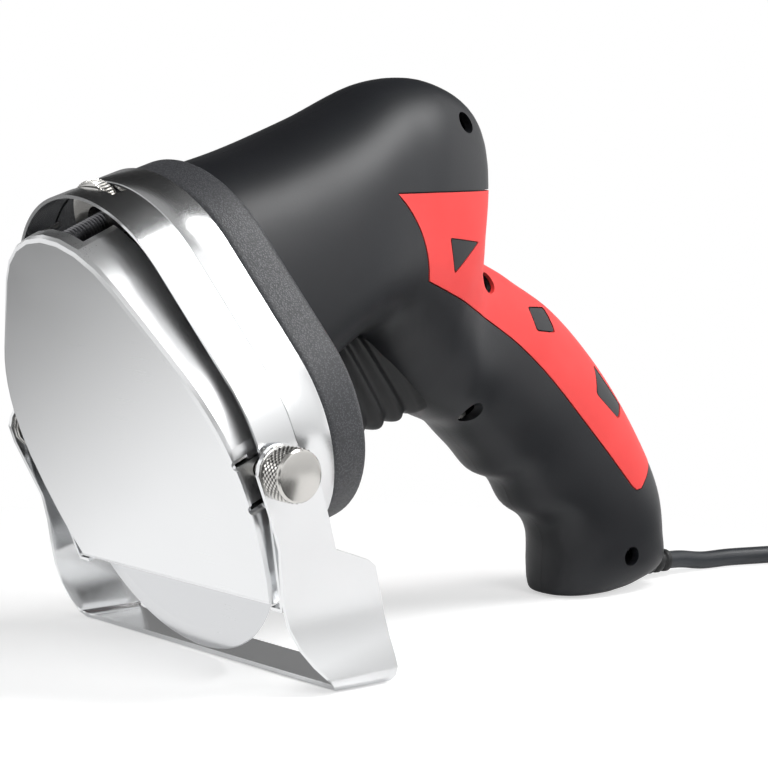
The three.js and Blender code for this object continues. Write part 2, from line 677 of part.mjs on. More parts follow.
// The bent blank below the pivot: its share of the way down, how far it leans out, and its front and rear edges
// from the pivot. It leans in beside the head, flares out above the floor and turns in to the bar.
const armRows = [
  { down: 0.081, lean: 0, front: -6.2, rear: 12.4 },
  { down: 0.222, lean: -1.2, front: -2.3, rear: 15.8 },
  { down: 0.347, lean: -2.6, front: 1, rear: 18.8 },
  { down: 0.375, lean: -2.9, front: 1.4, rear: 19.6 },
  { down: 0.45, lean: -3.6, front: 2.1, rear: 31.7 },
  { down: 0.478, lean: -3.8, front: 2.4, rear: 33.7 },
  { down: 0.588, lean: -4.2, front: 3.2, rear: 35.5 },
  { down: 0.704, lean: -3.7, front: 4.8, rear: 36.6 },
  { down: 0.804, lean: -2.4, front: 7.6, rear: 37.4 },
  { down: 0.887, lean: -0.5, front: 11.2, rear: 37.8 },
  { down: 0.94, lean: 0.7, front: 14.2, rear: 37.8 },
  { down: 0.973, lean: 0.6, front: 16, rear: 37.3 },
  { down: 0.995, lean: -0.8, front: 17.6, rear: 36.7 },
  { down: 1, lean: -3.1, front: BAR_FRONT, rear: BAR_REAR },
];
const armZ = (down) => THREE.MathUtils.lerp(pivotZ, barZ, down);

// The blank from the round end of an arm to the middle of the bar, as rows of x, z, front and rear.
function standRows() {
  const rows = [];
  for (const angle of [78, 60, 40, 20, 0]) {
    const half = ARM_END_RADIUS * Math.cos(deg(angle));
    const rear = angle > 40 ? half : ARM_END_RADIUS + (40 - angle) * 0.045;
    rows.push([armU, pivotZ + ARM_END_RADIUS * Math.sin(deg(angle)), pivotY - half, pivotY + rear]);
  }
  for (const { down, lean, front, rear } of armRows) {
    rows.push([armU + lean, armZ(down), pivotY + front, pivotY + rear]);
  }
  return rows;
}

function stand() {
  const right = standRows();
  const left = right.map(([x, z, front, rear]) => [-x, z, front, rear]).reverse();
  const rows = [...right, ...left];
  const rings = rows.map(([x, z, front, rear], i) => {
    const [x0, z0] = rows[Math.max(i - 1, 0)];
    const [x1, z1] = rows[Math.min(i + 1, rows.length - 1)];
    const away = at(z0 - z1, 0, x1 - x0).setLength(STAND_SHEET / 2);
    return [at(x + away.x, front, z + away.z), at(x + away.x, rear, z + away.z),
      at(x - away.x, rear, z - away.z), at(x - away.x, front, z - away.z)];
  });
  let sheet = skin(rings);
  const lipEnd = (down, lean, rear) => ({ x: armInner + lean, y: pivotY + rear - STAND_SHEET / 2, z: armZ(down) });
  const lipTop = lipEnd(0.15, -0.6, 14);
  const lipLow = lipEnd(0.35, -2.6, 18.7);
  const lipRing = ({ x, y, z }, sign) => [at(sign * (x + STAND_SHEET / 2), y, z), at(sign * (x - FLANGE_WIDTH), y, z),
    at(sign * (x - FLANGE_WIDTH), y + STAND_SHEET, z), at(sign * (x + STAND_SHEET / 2), y + STAND_SHEET, z)];
  for (const sign of [-1, 1]) {
    sheet = sheet.add(skin([lipRing(lipTop, sign), lipRing(lipLow, sign)]));
  }
  return sheet.subtract(bore(STUD_RADIUS + GAP, at(-80, pivotY, pivotZ), at(80, pivotY, pivotZ)));
}

// The stud and head of the knob on the right and of the screw on the left.
function pivotStud(sign, headRadius, headThickness, edge, sides) {
  const neck = armOuter + GAP;
  const face = neck + headThickness;
  const profile = [[0, STUD_INNER_U], [STUD_RADIUS, STUD_INNER_U], [STUD_RADIUS, neck], [headRadius, neck],
    [headRadius, face - edge], [headRadius - edge, face], [0, face]];
  return turned(profile, at(0, PIVOT_B, PIVOT_V), at(sign, 0, 0), sides);
}

function pivotWasher(sign) {
  const inner = STUD_RADIUS + GAP;
  const outer = washerInner + WASHER_THICKNESS;
  const profile = [[inner, washerInner], [WASHER_RADIUS, washerInner], [WASHER_RADIUS, outer], [inner, outer],
    [inner, washerInner]];
  return turned(profile, at(0, PIVOT_B, PIVOT_V), at(sign, 0, 0), 14);
}

// Housing: sections from the front of the barrel, round its rear end and down the grip.
// Each has its under or front point, its top or back point, its half-width and how much it narrows to the top.

const barrelFront = HEAD_REAR + GAP;
const onFloor = (y) => toMachine(y, floorZ);
const heelUnder = onFloor(155.5);
const heelTop = onFloor(181);
const upFrom = ([b, v], back, up) => [b + back, v + up];

const sections = [
  { under: [barrelFront, 13], top: [barrelFront, 82.3], half: 36, taper: 0.14 },
  { under: [58, 17], top: [60.2, 81.6], half: 35.2, taper: 0.15 },
  { under: [72, 20], top: [87.5, 82.8], half: 33.6, taper: 0.17 },
  { under: [79, 18], top: [112.5, 85.2], half: 30.8, taper: 0.22 },
  { under: [84, 9], top: [128, 80.9], half: 29.4, taper: 0.15 },
  { under: [88.5, 0], top: [140.3, 68], half: 28, taper: 0.12 },
  { under: [92.5, -7], top: [134.6, 45], half: 22.8, taper: 0.12 },
  { under: [101.3, -16.3], top: [128.1, 30], half: 21.7, taper: 0.18 },
  { under: [108.8, -23.2], top: [140.6, 15.5], half: 20, taper: 0.1 },
  { under: [115.5, -36.4], top: [155.5, -0.6], half: 19, taper: 0.08 },
  { under: [123.4, -46.8], top: [169.3, -24.6], half: 17.6, taper: 0.03 },
  { under: [130.4, -59.2], top: [178.3, -49.2], half: 17.7, taper: 0.02 },
  { under: upFrom(heelUnder, 2.2, 20.1), top: upFrom(heelTop, 23.2, 27.5), half: 18, taper: 0 },
  { under: upFrom(heelUnder, -0.9, 8.6), top: upFrom(heelTop, 22.1, 12.7), half: 17.5, taper: 0 },
  { under: upFrom(heelUnder, -2.3, 4.4), top: upFrom(heelTop, 19.6, 2.7), half: 16.6, taper: 0 },
  { under: upFrom(heelUnder, -2.6, 1.8), top: upFrom(heelTop, 8.4, 0.6), half: 14, taper: 0 },
  { under: heelUnder, top: heelTop, half: 9.5, taper: 0 },
];
const SECTION_POWER = 2.5;
const FINE = { points: 18, halved: [3, 4, 5, 6, 7, 8, 14] };
const COARSE = { points: 12, halved: [] };

const underCurve = new THREE.CatmullRomCurve3(sections.map(({ under, half }) => at(half, under[0], under[1])));
const topCurve = new THREE.CatmullRomCurve3(sections.map(({ top, taper }) => at(taper, top[0], top[1])));

// One cross-section of the housing, moved in by a wall.
function housingSection(share, wall, count) {
  const under = underCurve.getPoint(share);
  const top = topCurve.getPoint(share);
  const half = under.x - wall;
  const taper = top.x;
  const low = at(0, under.y, under.z);
  const high = at(0, top.y, top.z);
  const middle = low.clone().add(high).multiplyScalar(0.5);
  const reach = high.clone().sub(middle);
  reach.setLength(reach.length() - wall);
  const bulge = (value) => Math.sign(value) * Math.abs(value) ** (2 / SECTION_POWER);
  const points = [];
  for (let j = 0; j < count; j += 1) {
    const angle = (2 * Math.PI * j) / count;
    const rise = bulge(Math.sin(angle));
    const point = middle.clone().addScaledVector(reach, rise);
    point.x = half * (1 - taper * rise) * bulge(Math.cos(angle));
    points.push(point);
  }
  return points;
}

function housingBody(wall, lastSection = sections.length - 1, mesh = FINE) {
  const spans = sections.length - 1;
  const rings = [];
  for (let i = 0; i <= lastSection; i += 1) {
    rings.push(housingSection(i / spans, wall, mesh.points));
    if (mesh.halved.includes(i) && i < lastSection) {
      rings.push(housingSection((i + 0.5) / spans, wall, mesh.points));
    }
  }
  if (wall > 0) {
    rings.unshift(rings[0].map((point) => at(point.x, point.y - 8, point.z)));
  }
  return skin(rings);
}

const outerBody = housingBody(0);
const innerEnd = sections.length - 2;
const innerBody = housingBody(WALL, innerEnd, COARSE);
const recessFloor = housingBody(GRIP_DEPTH + GAP);
const ribReach = housingBody(WALL - 0.5, innerEnd, COARSE);

// Where the four housing screws cross from right to left.
const housingScrews = [[128.5, 67.8], [125.7, 18.7], [108.9, -16.5], upFrom(heelUnder, 22.4, 6)];

const motorBearing = COVER_FRONT + 1.5;
const statorRear = STATOR_FRONT + STATOR_LENGTH;
const rearBearingRear = REAR_BEARING_FRONT + BEARING_WIDTH;

// Switch, held by ribs in the top of the grip
const SWITCH_B = 106.5;
const SWITCH_V = 11;
const SWITCH_LONG = 11;
const SWITCH_TALL = 9;
const SWITCH_HALF = 8;

function switchBlock(grow) {
  return block(at(-SWITCH_HALF - grow, SWITCH_B - SWITCH_LONG - grow, SWITCH_V - SWITCH_TALL - grow),
    at(SWITCH_HALF + grow, SWITCH_B + SWITCH_LONG + grow, SWITCH_V + SWITCH_TALL + grow));
}

function acrossPlate(front, rear, low, high) {
  return block(at(-80, front, low), at(80, rear, high)).intersect(ribReach);
}

function brushHolderBlock(sign, grow) {
  const inner = COMMUTATOR_RADIUS + 1.5 - grow;
  const outer = COMMUTATOR_RADIUS + AIR_GAP + BRUSH_LENGTH + 1 + grow;
  const half = BRUSH_HALF + GAP + HOLDER_WALL + grow;
  const middle = COMMUTATOR_FRONT + COMMUTATOR_LENGTH / 2;
  return block(at(Math.min(sign * inner, sign * outer), middle - half, MOTOR_V - half),
    at(Math.max(sign * inner, sign * outer), middle + half, MOTOR_V + half));
}

// Ribs that carry the motor, the brushes, the switch and the trigger pin.
function housingRibs() {
  const brushMiddle = COMMUTATOR_FRONT + COMMUTATOR_LENGTH / 2;
  const plates = [
    acrossPlate(STATOR_FRONT + 3, STATOR_FRONT + 3 + RIB, 26, 90),
    acrossPlate(statorRear - 3 - RIB, statorRear - 3, 26, 90),
    acrossPlate(brushMiddle - RIB, brushMiddle + RIB, 28, 58),
    acrossPlate(REAR_BEARING_FRONT + 1, rearBearingRear - 1, 28, 58),
    acrossPlate(SWITCH_B - 6, SWITCH_B - 6 + RIB, SWITCH_V - 26, SWITCH_V + SWITCH_TALL + 2),
    acrossPlate(SWITCH_B + 6, SWITCH_B + 6 + RIB, SWITCH_V - 30, SWITCH_V + SWITCH_TALL + 2),
  ];
  let ribs = union(plates);
  ribs = ribs.subtract(bore(STATOR_RADIUS + GAP, at(0, 50, MOTOR_V), at(0, statorRear, MOTOR_V), 20));
  ribs = ribs.subtract(bore(COMMUTATOR_RADIUS + 3, at(0, 50, MOTOR_V), at(0, REAR_BEARING_FRONT, MOTOR_V), 20));
  ribs = ribs.subtract(bore(BEARING_RADIUS + GAP, at(0, 100, MOTOR_V), at(0, 160, MOTOR_V), 20));
  for (const sign of [-1, 1]) {
    ribs = ribs.subtract(brushHolderBlock(sign, GAP));
  }
  ribs = ribs.subtract(switchBlock(GAP));
  for (const sign of [-1, 1]) {
    const from = at(sign * (TRIGGER_HALF + GAP), TRIGGER_PIN_B, TRIGGER_PIN_V);
    const boss = rod(TRIGGER_PIN_RADIUS + BOSS_WALL, from, at(sign * 60, TRIGGER_PIN_B, TRIGGER_PIN_V), 10);
    const pinEnd = at(sign * (TRIGGER_PIN_HALF + GAP), TRIGGER_PIN_B, TRIGGER_PIN_V);
    ribs = ribs.add(boss.intersect(ribReach));
    ribs = ribs.subtract(bore(TRIGGER_PIN_RADIUS + GAP, at(0, TRIGGER_PIN_B, TRIGGER_PIN_V), pinEnd, 10));
  }
  return ribs;
}

// The red grip's outline on the side, and the islands of housing that show through it
const GRIP_TOP_Z = 82.3;

function gripOutline() {
  const [leftB, leftV] = [89.4, 59.2];
  const rearB = 160;
  const rearV = (GRIP_TOP_Z - rearB * Math.sin(pitch)) / Math.cos(pitch);
  const shape = new THREE.Shape();
  shape.moveTo(leftB, leftV);
  shape.bezierCurveTo(93.5, 52, 95.5, 42, 93.2, 31.9);
  shape.bezierCurveTo(101, 25.5, 117, 13.5, 130, -2.5);
  shape.bezierCurveTo(141, -17, 153, -40, 163.5, -63.1);
  shape.lineTo(167.2, -65.3);
  shape.lineTo(215, -43);
  shape.lineTo(215, 20);
  shape.lineTo(rearB, rearV);
  shape.closePath();
  return shape;
}

const islands = [
  [[105.2, 40.4], [117.1, 35], [104.3, 30.4]],
  [[140.3, 5.4], [148.6, 1.9], [147.8, -5.2], [139.9, -1.5]],
  [[159.1, -30.2], [163.5, -22.8], [170.5, -38.5], [166, -41]],
];

// An island drawn smaller or larger about its middle.
function islandOutline(points, grow) {
  const middle = points.reduce(([a, b], [c, d]) => [a + c / points.length, b + d / points.length], [0, 0]);
  return polygon(points.map(([b, v]) => {
    const away = Math.hypot(b - middle[0], v - middle[1]);
    const share = 1 + (2 * grow) / away;
    return [middle[0] + (b - middle[0]) * share, middle[1] + (v - middle[1]) * share];
  }));
}

function gripRegion(islandGrow) {
  let region = side(gripOutline(), -60, 60);
  for (const points of islands) {
    region = region.subtract(side(islandOutline(points, islandGrow), -61, 61));
  }
  return region;
}

const halfSpace = (sign) => {
  const near = sign > 0 ? GAP / 2 : -90;
  return block(at(near, -50, -200), at(near + 90 - GAP / 2, 300, 200));
};

function grip(sign) {
  const shell = outerBody.subtract(housingBody(GRIP_DEPTH));
  let body = shell.intersect(gripRegion(GAP)).intersect(halfSpace(sign));
  for (const [b, v] of housingScrews) {
    body = body.subtract(bore(SCREW_HEAD_RADIUS + GAP, at(0, b, v), at(sign * 60, b, v), 16));
  }
  return body;
}

// The mouth that the trigger passes through
function triggerMouth() {
  const outline = polygon([[72, 17.5], [80.5, 26], [98, -4], [93, -9.5], [82, -12], [70, 2]]);
  return side(outline, -TRIGGER_HALF - 1.2, TRIGGER_HALF + 1.2);
}

const [reliefB, reliefV] = toMachine(RELIEF_Y, floorZ + RELIEF_HEIGHT);
const reliefSlope = deg(-RELIEF_DROP) - pitch;
const reliefAxis = at(0, Math.cos(reliefSlope), Math.sin(reliefSlope));
const reliefBase = at(0, reliefB, reliefV);

function housingHalf(sign, ribs) {
  const recess = housingBody(-2).subtract(recessFloor).intersect(gripRegion(0));
  let shell = outerBody.subtract(innerBody).add(ribs).subtract(recess);
  for (const [b, v] of housingScrews) {
    const boss = rod(SCREW_HEAD_RADIUS + GAP + BOSS_WALL, at(-60, b, v), at(60, b, v), 12);
    shell = shell.add(boss.intersect(ribReach));
    shell = shell.subtract(bore(SCREW_RADIUS + GAP, at(-12 - GAP, b, v), at(60, b, v), 8));
    shell = shell.subtract(bore(SCREW_HEAD_RADIUS + GAP, at(BOSS_SEAT_U, b, v), at(60, b, v), 12));
  }
  const reliefHole = bore(RELIEF_RADIUS + GAP, reliefBase.clone().addScaledVector(reliefAxis, -RELIEF_SEAT - 2),
    reliefBase.clone().addScaledVector(reliefAxis, 40));
  const pinReach = TRIGGER_PIN_HALF + GAP;
  const pinHole = bore(TRIGGER_PIN_RADIUS + GAP, at(-pinReach, TRIGGER_PIN_B, TRIGGER_PIN_V),
    at(pinReach, TRIGGER_PIN_B, TRIGGER_PIN_V), 10);
  shell = shell.subtract(triggerMouth()).subtract(reliefHole).subtract(pinHole);
  return shell.intersect(halfSpace(sign));
}

function housingScrew([b, v]) {
  const seat = BOSS_SEAT_U + GAP;
  const profile = [[0, -12], [SCREW_RADIUS, -12], [SCREW_RADIUS, seat], [SCREW_HEAD_RADIUS, seat],
    [SCREW_HEAD_RADIUS, seat + SCREW_HEAD_HEIGHT], [0, seat + SCREW_HEAD_HEIGHT]];
  return turned(profile, at(0, b, v), at(1, 0, 0), 8);
}

// Motor

const armatureRadius = STATOR_BORE - AIR_GAP;
const COIL_ANGLE = 44;
const COIL_LINER = 0.5;

function sector(inner, outer, middle, halfAngle) {
  const shape = new THREE.Shape();
  shape.absarc(0, MOTOR_V, outer, middle - halfAngle, middle + halfAngle, false);
  shape.absarc(0, MOTOR_V, inner, middle + halfAngle, middle - halfAngle, true);
  shape.closePath();
  return shape;
}

function stator() {
  let core = rod(STATOR_RADIUS, at(0, STATOR_FRONT, MOTOR_V), at(0, statorRear, MOTOR_V), 28);
  core = core.subtract(bore(STATOR_BORE, at(0, 40, MOTOR_V), at(0, 140, MOTOR_V), 24));
  for (const middle of [0, Math.PI]) {
    const pocket = sector(STATOR_BORE - 1, STATOR_RADIUS - STATOR_BACK_IRON, middle, deg(COIL_ANGLE + 2));
    core = core.subtract(slab(pocket, STATOR_FRONT - 1, statorRear + 1));
  }
  return core;
}

function fieldCoil(middle) {
  const outer = STATOR_RADIUS - STATOR_BACK_IRON - GAP;
  const winding = sector(STATOR_BORE + COIL_LINER, outer, middle, deg(COIL_ANGLE));
  return slab(winding, STATOR_FRONT - COIL_OVERHANG, statorRear + COIL_OVERHANG);
}

function armature() {
  const points = [];
  const slots = 10;
  for (let i = 0; i < slots; i += 1) {
    const start = (2 * Math.PI * i) / slots;
    const corners = [[0, 0], [0.38, 0], [0.75, 0], [0.78, 2], [0.97, 2]];
    for (const [share, depth] of corners) {
      const angle = start + (share * 2 * Math.PI) / slots;
      const radius = armatureRadius - depth;
      points.push([radius * Math.cos(angle), MOTOR_V + radius * Math.sin(angle)]);
    }
  }
  const core = slab(polygon(points), STATOR_FRONT + 1, statorRear - 1);
  return core.subtract(bore(SHAFT_RADIUS + GAP, at(0, 0, MOTOR_V), at(0, 160, MOTOR_V), 16));
}

function motorShaft() {
  const teeth = gearOutline(PINION_TEETH, FINE_MODULE, fineLine + Math.PI + Math.PI / PINION_TEETH);
  const pinion = slab(teeth, fineFront, fineFront + GEAR_WIDTH).translate([0, 0, MOTOR_V]);
  const shaft = rod(SHAFT_RADIUS, at(0, fineFront, MOTOR_V), at(0, rearBearingRear + 1, MOTOR_V), 16);
  return pinion.add(shaft);
}

function sleeveOnShaft(radius, front, length) {
  const bore = SHAFT_RADIUS + GAP;
  const profile = [[bore, 0], [radius, 0], [radius, length], [bore, length], [bore, 0]];
  return turned(profile, at(0, front, MOTOR_V), axis, 16);
}

function fan() {
  const hub = sleeveOnShaft(SHAFT_RADIUS + GAP + HUB_WALL, FAN_FRONT, FAN_LENGTH);
  const disc = sleeveOnShaft(FAN_RADIUS, FAN_FRONT + FAN_LENGTH - 1.5, 1.5);
  let wheel = hub.add(disc);
  const vanes = 7;
  for (let i = 0; i < vanes; i += 1) {
    const vane = block(at(SHAFT_RADIUS + GAP + 1, FAN_FRONT, -0.6), at(FAN_RADIUS - 0.5, FAN_FRONT + FAN_LENGTH - 1, 0.6));
    wheel = wheel.add(vane.rotate([0, (360 * i) / vanes, 0]).translate([0, 0, MOTOR_V]));
  }
  return wheel;
}

function brushHolder(sign) {
  const middle = COMMUTATOR_FRONT + COMMUTATOR_LENGTH / 2;
  const half = BRUSH_HALF + GAP;
  const outer = COMMUTATOR_RADIUS + AIR_GAP + BRUSH_LENGTH;
  const bore = block(at(Math.min(0, sign * outer), middle - half, MOTOR_V - half),
    at(Math.max(0, sign * outer), middle + half, MOTOR_V + half));
  return brushHolderBlock(sign, 0).subtract(bore);
}

function brush(sign) {
  const middle = COMMUTATOR_FRONT + COMMUTATOR_LENGTH / 2;
  const inner = COMMUTATOR_RADIUS + AIR_GAP;
  const outer = inner + BRUSH_LENGTH - GAP;
  return block(at(Math.min(sign * inner, sign * outer), middle - BRUSH_HALF, MOTOR_V - BRUSH_HALF),
    at(Math.max(sign * inner, sign * outer), middle + BRUSH_HALF, MOTOR_V + BRUSH_HALF));
}

// Trigger, its spring and its bellows boot

function trigger() {
  const lever = new THREE.Shape();
  lever.moveTo(TRIGGER_PIN_B - 4.5, TRIGGER_PIN_V);
  lever.absarc(TRIGGER_PIN_B, TRIGGER_PIN_V, 4.5, Math.PI, 0, true);
  lever.lineTo(87.5, 12);
  lever.lineTo(86, 0);
  lever.quadraticCurveTo(84, -5.5, 80, -5.5);
  lever.quadraticCurveTo(75.5, -5.5, 74.5, -1);
  lever.quadraticCurveTo(72, 6, 73, 12.5);
  lever.closePath();
  const pinHole = bore(TRIGGER_PIN_RADIUS + GAP, at(-40, TRIGGER_PIN_B, TRIGGER_PIN_V),
    at(40, TRIGGER_PIN_B, TRIGGER_PIN_V), 16);
  return side(lever, -TRIGGER_HALF, TRIGGER_HALF).subtract(pinHole);
}

const SPRING_V = 5;
const springFront = 87.2;

function triggerSpring() {
  const route = [];
  const rear = SWITCH_B - SWITCH_LONG - GAP - SPRING_WIRE;
  const steps = SPRING_TURNS * 8;
  for (let i = 0; i <= steps; i += 1) {
    const angle = (2 * Math.PI * i) / 8;
    const b = THREE.MathUtils.lerp(springFront + SPRING_WIRE, rear, i / steps);
    route.push(at(SPRING_RADIUS * Math.cos(angle), b, SPRING_V + SPRING_RADIUS * Math.sin(angle)));
  }
  return tube(route, SPRING_WIRE, 4, steps);
}

// The boot's pleats fan out from its top. A share of 0 is its foot on the housing, 1 its front.
function bootRing(share, grow) {
  const lerp = THREE.MathUtils.lerp;
  const top = at(0, lerp(80, 65, share), lerp(25, 23.5, share));
  const low = at(0, lerp(95, 71.5, share), lerp(-12.5, -11.5, share));
  const middle = top.clone().add(low).multiplyScalar(0.5);
  const reach = top.clone().sub(middle);
  reach.setLength(reach.length() + grow);
  const half = BOOT_HALF - 1.5 * share + grow;
  const bulge = (value) => Math.sign(value) * Math.abs(value) ** (2 / 4);
  const points = [];
  for (let j = 0; j < BOOT_POINTS; j += 1) {
    const angle = (2 * Math.PI * j) / BOOT_POINTS;
    const point = middle.clone().addScaledVector(reach, bulge(Math.sin(angle)));
    point.x = half * bulge(Math.cos(angle));
    points.push(point);
  }
  return points;
}

function triggerBoot() {
  const outerRings = [bootRing(-0.35, 0)];
  for (let i = 0; i <= 2 * BOOT_PLEATS; i += 1) {
    const grow = i % 2 === 0 ? 0 : -BOOT_PLEAT_DEPTH;
    outerRings.push(bootRing((0.94 * i) / (2 * BOOT_PLEATS), grow));
  }
  outerRings.push(bootRing(1, -1.5));
  const inside = -BOOT_PLEAT_DEPTH - BOOT_WALL;
  const innerRings = [bootRing(-0.5, inside), bootRing(0.4, inside), bootRing(1 - 0.1, inside)];
  const grown = housingBody(-GAP);
  return skin(outerRings).subtract(skin(innerRings)).subtract(grown);
}

// The lead: guard, free cord, coil with its tie, and plug

function strainRelief() {
  const profile = [[0, -RELIEF_SEAT], [RELIEF_RADIUS, -RELIEF_SEAT], [RELIEF_RADIUS, 1.5]];
  const step = (RELIEF_LENGTH - 1.5) / RELIEF_RIBS;
  for (let i = 0; i < RELIEF_RIBS; i += 1) {
    const from = 1.5 + i * step;
    const rib = THREE.MathUtils.lerp(RELIEF_RADIUS, RELIEF_TIP_RADIUS, (i + 1) / RELIEF_RIBS);
    profile.push([rib - 0.9, from + 0.15 * step]);
    profile.push([rib - 0.9, from + 0.4 * step]);
    profile.push([rib, from + 0.55 * step]);
    profile.push([rib, from + step]);
  }
  profile.push([0, RELIEF_LENGTH]);
  return turned(profile, reliefBase, reliefAxis, 12);
}

const [reliefTipY, reliefTipZ] = (() => {
  const tip = reliefBase.clone().addScaledVector(reliefAxis, RELIEF_LENGTH + GAP);
  return toWorld(tip.y, tip.z);
})();
const onFloorZ = floorZ + CORD_RADIUS;

function freeCord() {
  const drop = deg(RELIEF_DROP);
  const route = [at(0, reliefTipY, reliefTipZ),
    at(0, reliefTipY + 7 * Math.cos(drop), reliefTipZ - 7 * Math.sin(drop)),
    at(1, 224, onFloorZ),
    at(3, 235, onFloorZ),
    at(7, 246, onFloorZ),
    at(11, 257, onFloorZ),
    at(COIL_X - COIL_OUTER, COIL_Y - 14, onFloorZ),
    at(COIL_X - COIL_OUTER, COIL_Y - 2 * CORD_RADIUS - GAP, onFloorZ)];
  return tube(route, CORD_RADIUS, 8, 14);
}

// The coil winds in on the floor, climbs where it turns back, and winds out on top.
function coilRoute() {
  const half = 2 * Math.PI * COIL_TURNS;
  const steps = 24 * 2 * COIL_TURNS;
  const route = [at(COIL_X - COIL_OUTER, COIL_Y - 2 * CORD_RADIUS, onFloorZ)];
  for (let i = 0; i <= steps; i += 1) {
    const angle = (2 * half * i) / steps;
    const fromTurn = Math.abs(angle - half);
    const radius = COIL_OUTER - COIL_PITCH * COIL_TURNS + (COIL_PITCH * fromTurn) / (2 * Math.PI);
    const climb = THREE.MathUtils.smoothstep(angle, half - Math.PI / 2, half + Math.PI / 2);
    route.push(at(COIL_X - radius * Math.cos(angle), COIL_Y + radius * Math.sin(angle), onFloorZ + COIL_PITCH * climb));
  }
  route.push(at(COIL_X - COIL_OUTER, COIL_Y + COIL_TAIL / 2, onFloorZ + COIL_PITCH));
  route.push(at(COIL_X - COIL_OUTER, COIL_Y + COIL_TAIL, onFloorZ + COIL_PITCH));
  return route;
}

function cordCoil() {
  const route = coilRoute();
  const points = new THREE.CatmullRomCurve3(route).getSpacedPoints(1200);
  let least = Infinity;
  for (let i = 0; i < points.length; i += 1) {
    for (let j = i + 24; j < points.length; j += 1) {
      least = Math.min(least, points[i].distanceTo(points[j]));
    }
  }
  const length = new THREE.CatmullRomCurve3(route).getLength();
  console.log(`coil: least gap to itself ${(least - 2 * CORD_RADIUS).toFixed(2)} mm, length ${length.toFixed(0)} mm`);
  return tube(route, CORD_RADIUS, 6, route.length - 1);
}

// A band round all the turns on the far side of the coil.
function cordTie() {
  const inner = COIL_OUTER - COIL_PITCH * (COIL_TURNS - 0.25) - CORD_RADIUS - 1;
  const outer = COIL_OUTER + CORD_RADIUS;
  const low = floorZ + TIE_SHEET / 2;
  const high = onFloorZ + COIL_PITCH + CORD_RADIUS + GAP;
  const loop = (grow) => polygon([[COIL_Y + inner - grow, floorZ - grow], [COIL_Y + outer + grow, floorZ - grow],
    [COIL_Y + outer + grow, high + grow], [COIL_Y + inner - grow, high + grow]]);
  const band = side(loop(TIE_SHEET), COIL_X - TIE_WIDTH / 2, COIL_X + TIE_WIDTH / 2);
  const hollow = side(loop(0), COIL_X - TIE_WIDTH, COIL_X + TIE_WIDTH);
  const below = block(at(-500, -500, floorZ - 50), at(500, 500, low - TIE_SHEET / 2));
  return band.subtract(hollow).subtract(below);
}

function plug() {
  const start = COIL_Y + COIL_TAIL + GAP;
  const x = COIL_X - COIL_OUTER;
  const z = onFloorZ + COIL_PITCH;
  const halfTall = z - floorZ;
  const stations = [[0, 4.2, 4.2], [10, 5, 5], [13, 8, halfTall - 1.5], [17, 11, halfTall], [PLUG_LENGTH - 3, 12, halfTall],
    [PLUG_LENGTH, 11, halfTall - 1]];
  const rings = stations.map(([along, halfWide, half]) => {
    const points = [];
    for (let j = 0; j < 16; j += 1) {
      const angle = (2 * Math.PI * j) / 16;
      const bulge = (value) => Math.sign(value) * Math.abs(value) ** 0.7;
      points.push(at(x + halfWide * bulge(Math.cos(angle)), start + along, z + half * bulge(Math.sin(angle))));
    }
    return points;
  });
  let body = skin(rings);
  for (const sign of [-1, 1]) {
    const pinX = x + sign * 9.5 * 0.7;
    body = body.add(rod(2, at(pinX, start + PLUG_LENGTH - 2, z), at(pinX, start + PLUG_LENGTH + 18, z), 12));
  }
  return body;
}

function innerLead() {
  const switchRear = SWITCH_B + SWITCH_LONG + GAP;
  const start = reliefBase.clone().addScaledVector(reliefAxis, -RELIEF_SEAT - GAP);
  const route = [start, start.clone().addScaledVector(reliefAxis, -2.5), at(0, ...upFrom(heelTop, 8.4, 12.3)), at(0, ...upFrom(heelTop, 5.3, 25.3)),
    at(0, 153, -48), at(0, 138, -24),
    at(0, 129, -5), at(0, switchRear + 4, SWITCH_V - 3), at(0, switchRear, SWITCH_V - 3)];
  return tube(route, CORD_RADIUS, 6, 10);
}

// The scene

const machine = new THREE.Group();
machine.rotation.x = pitch;

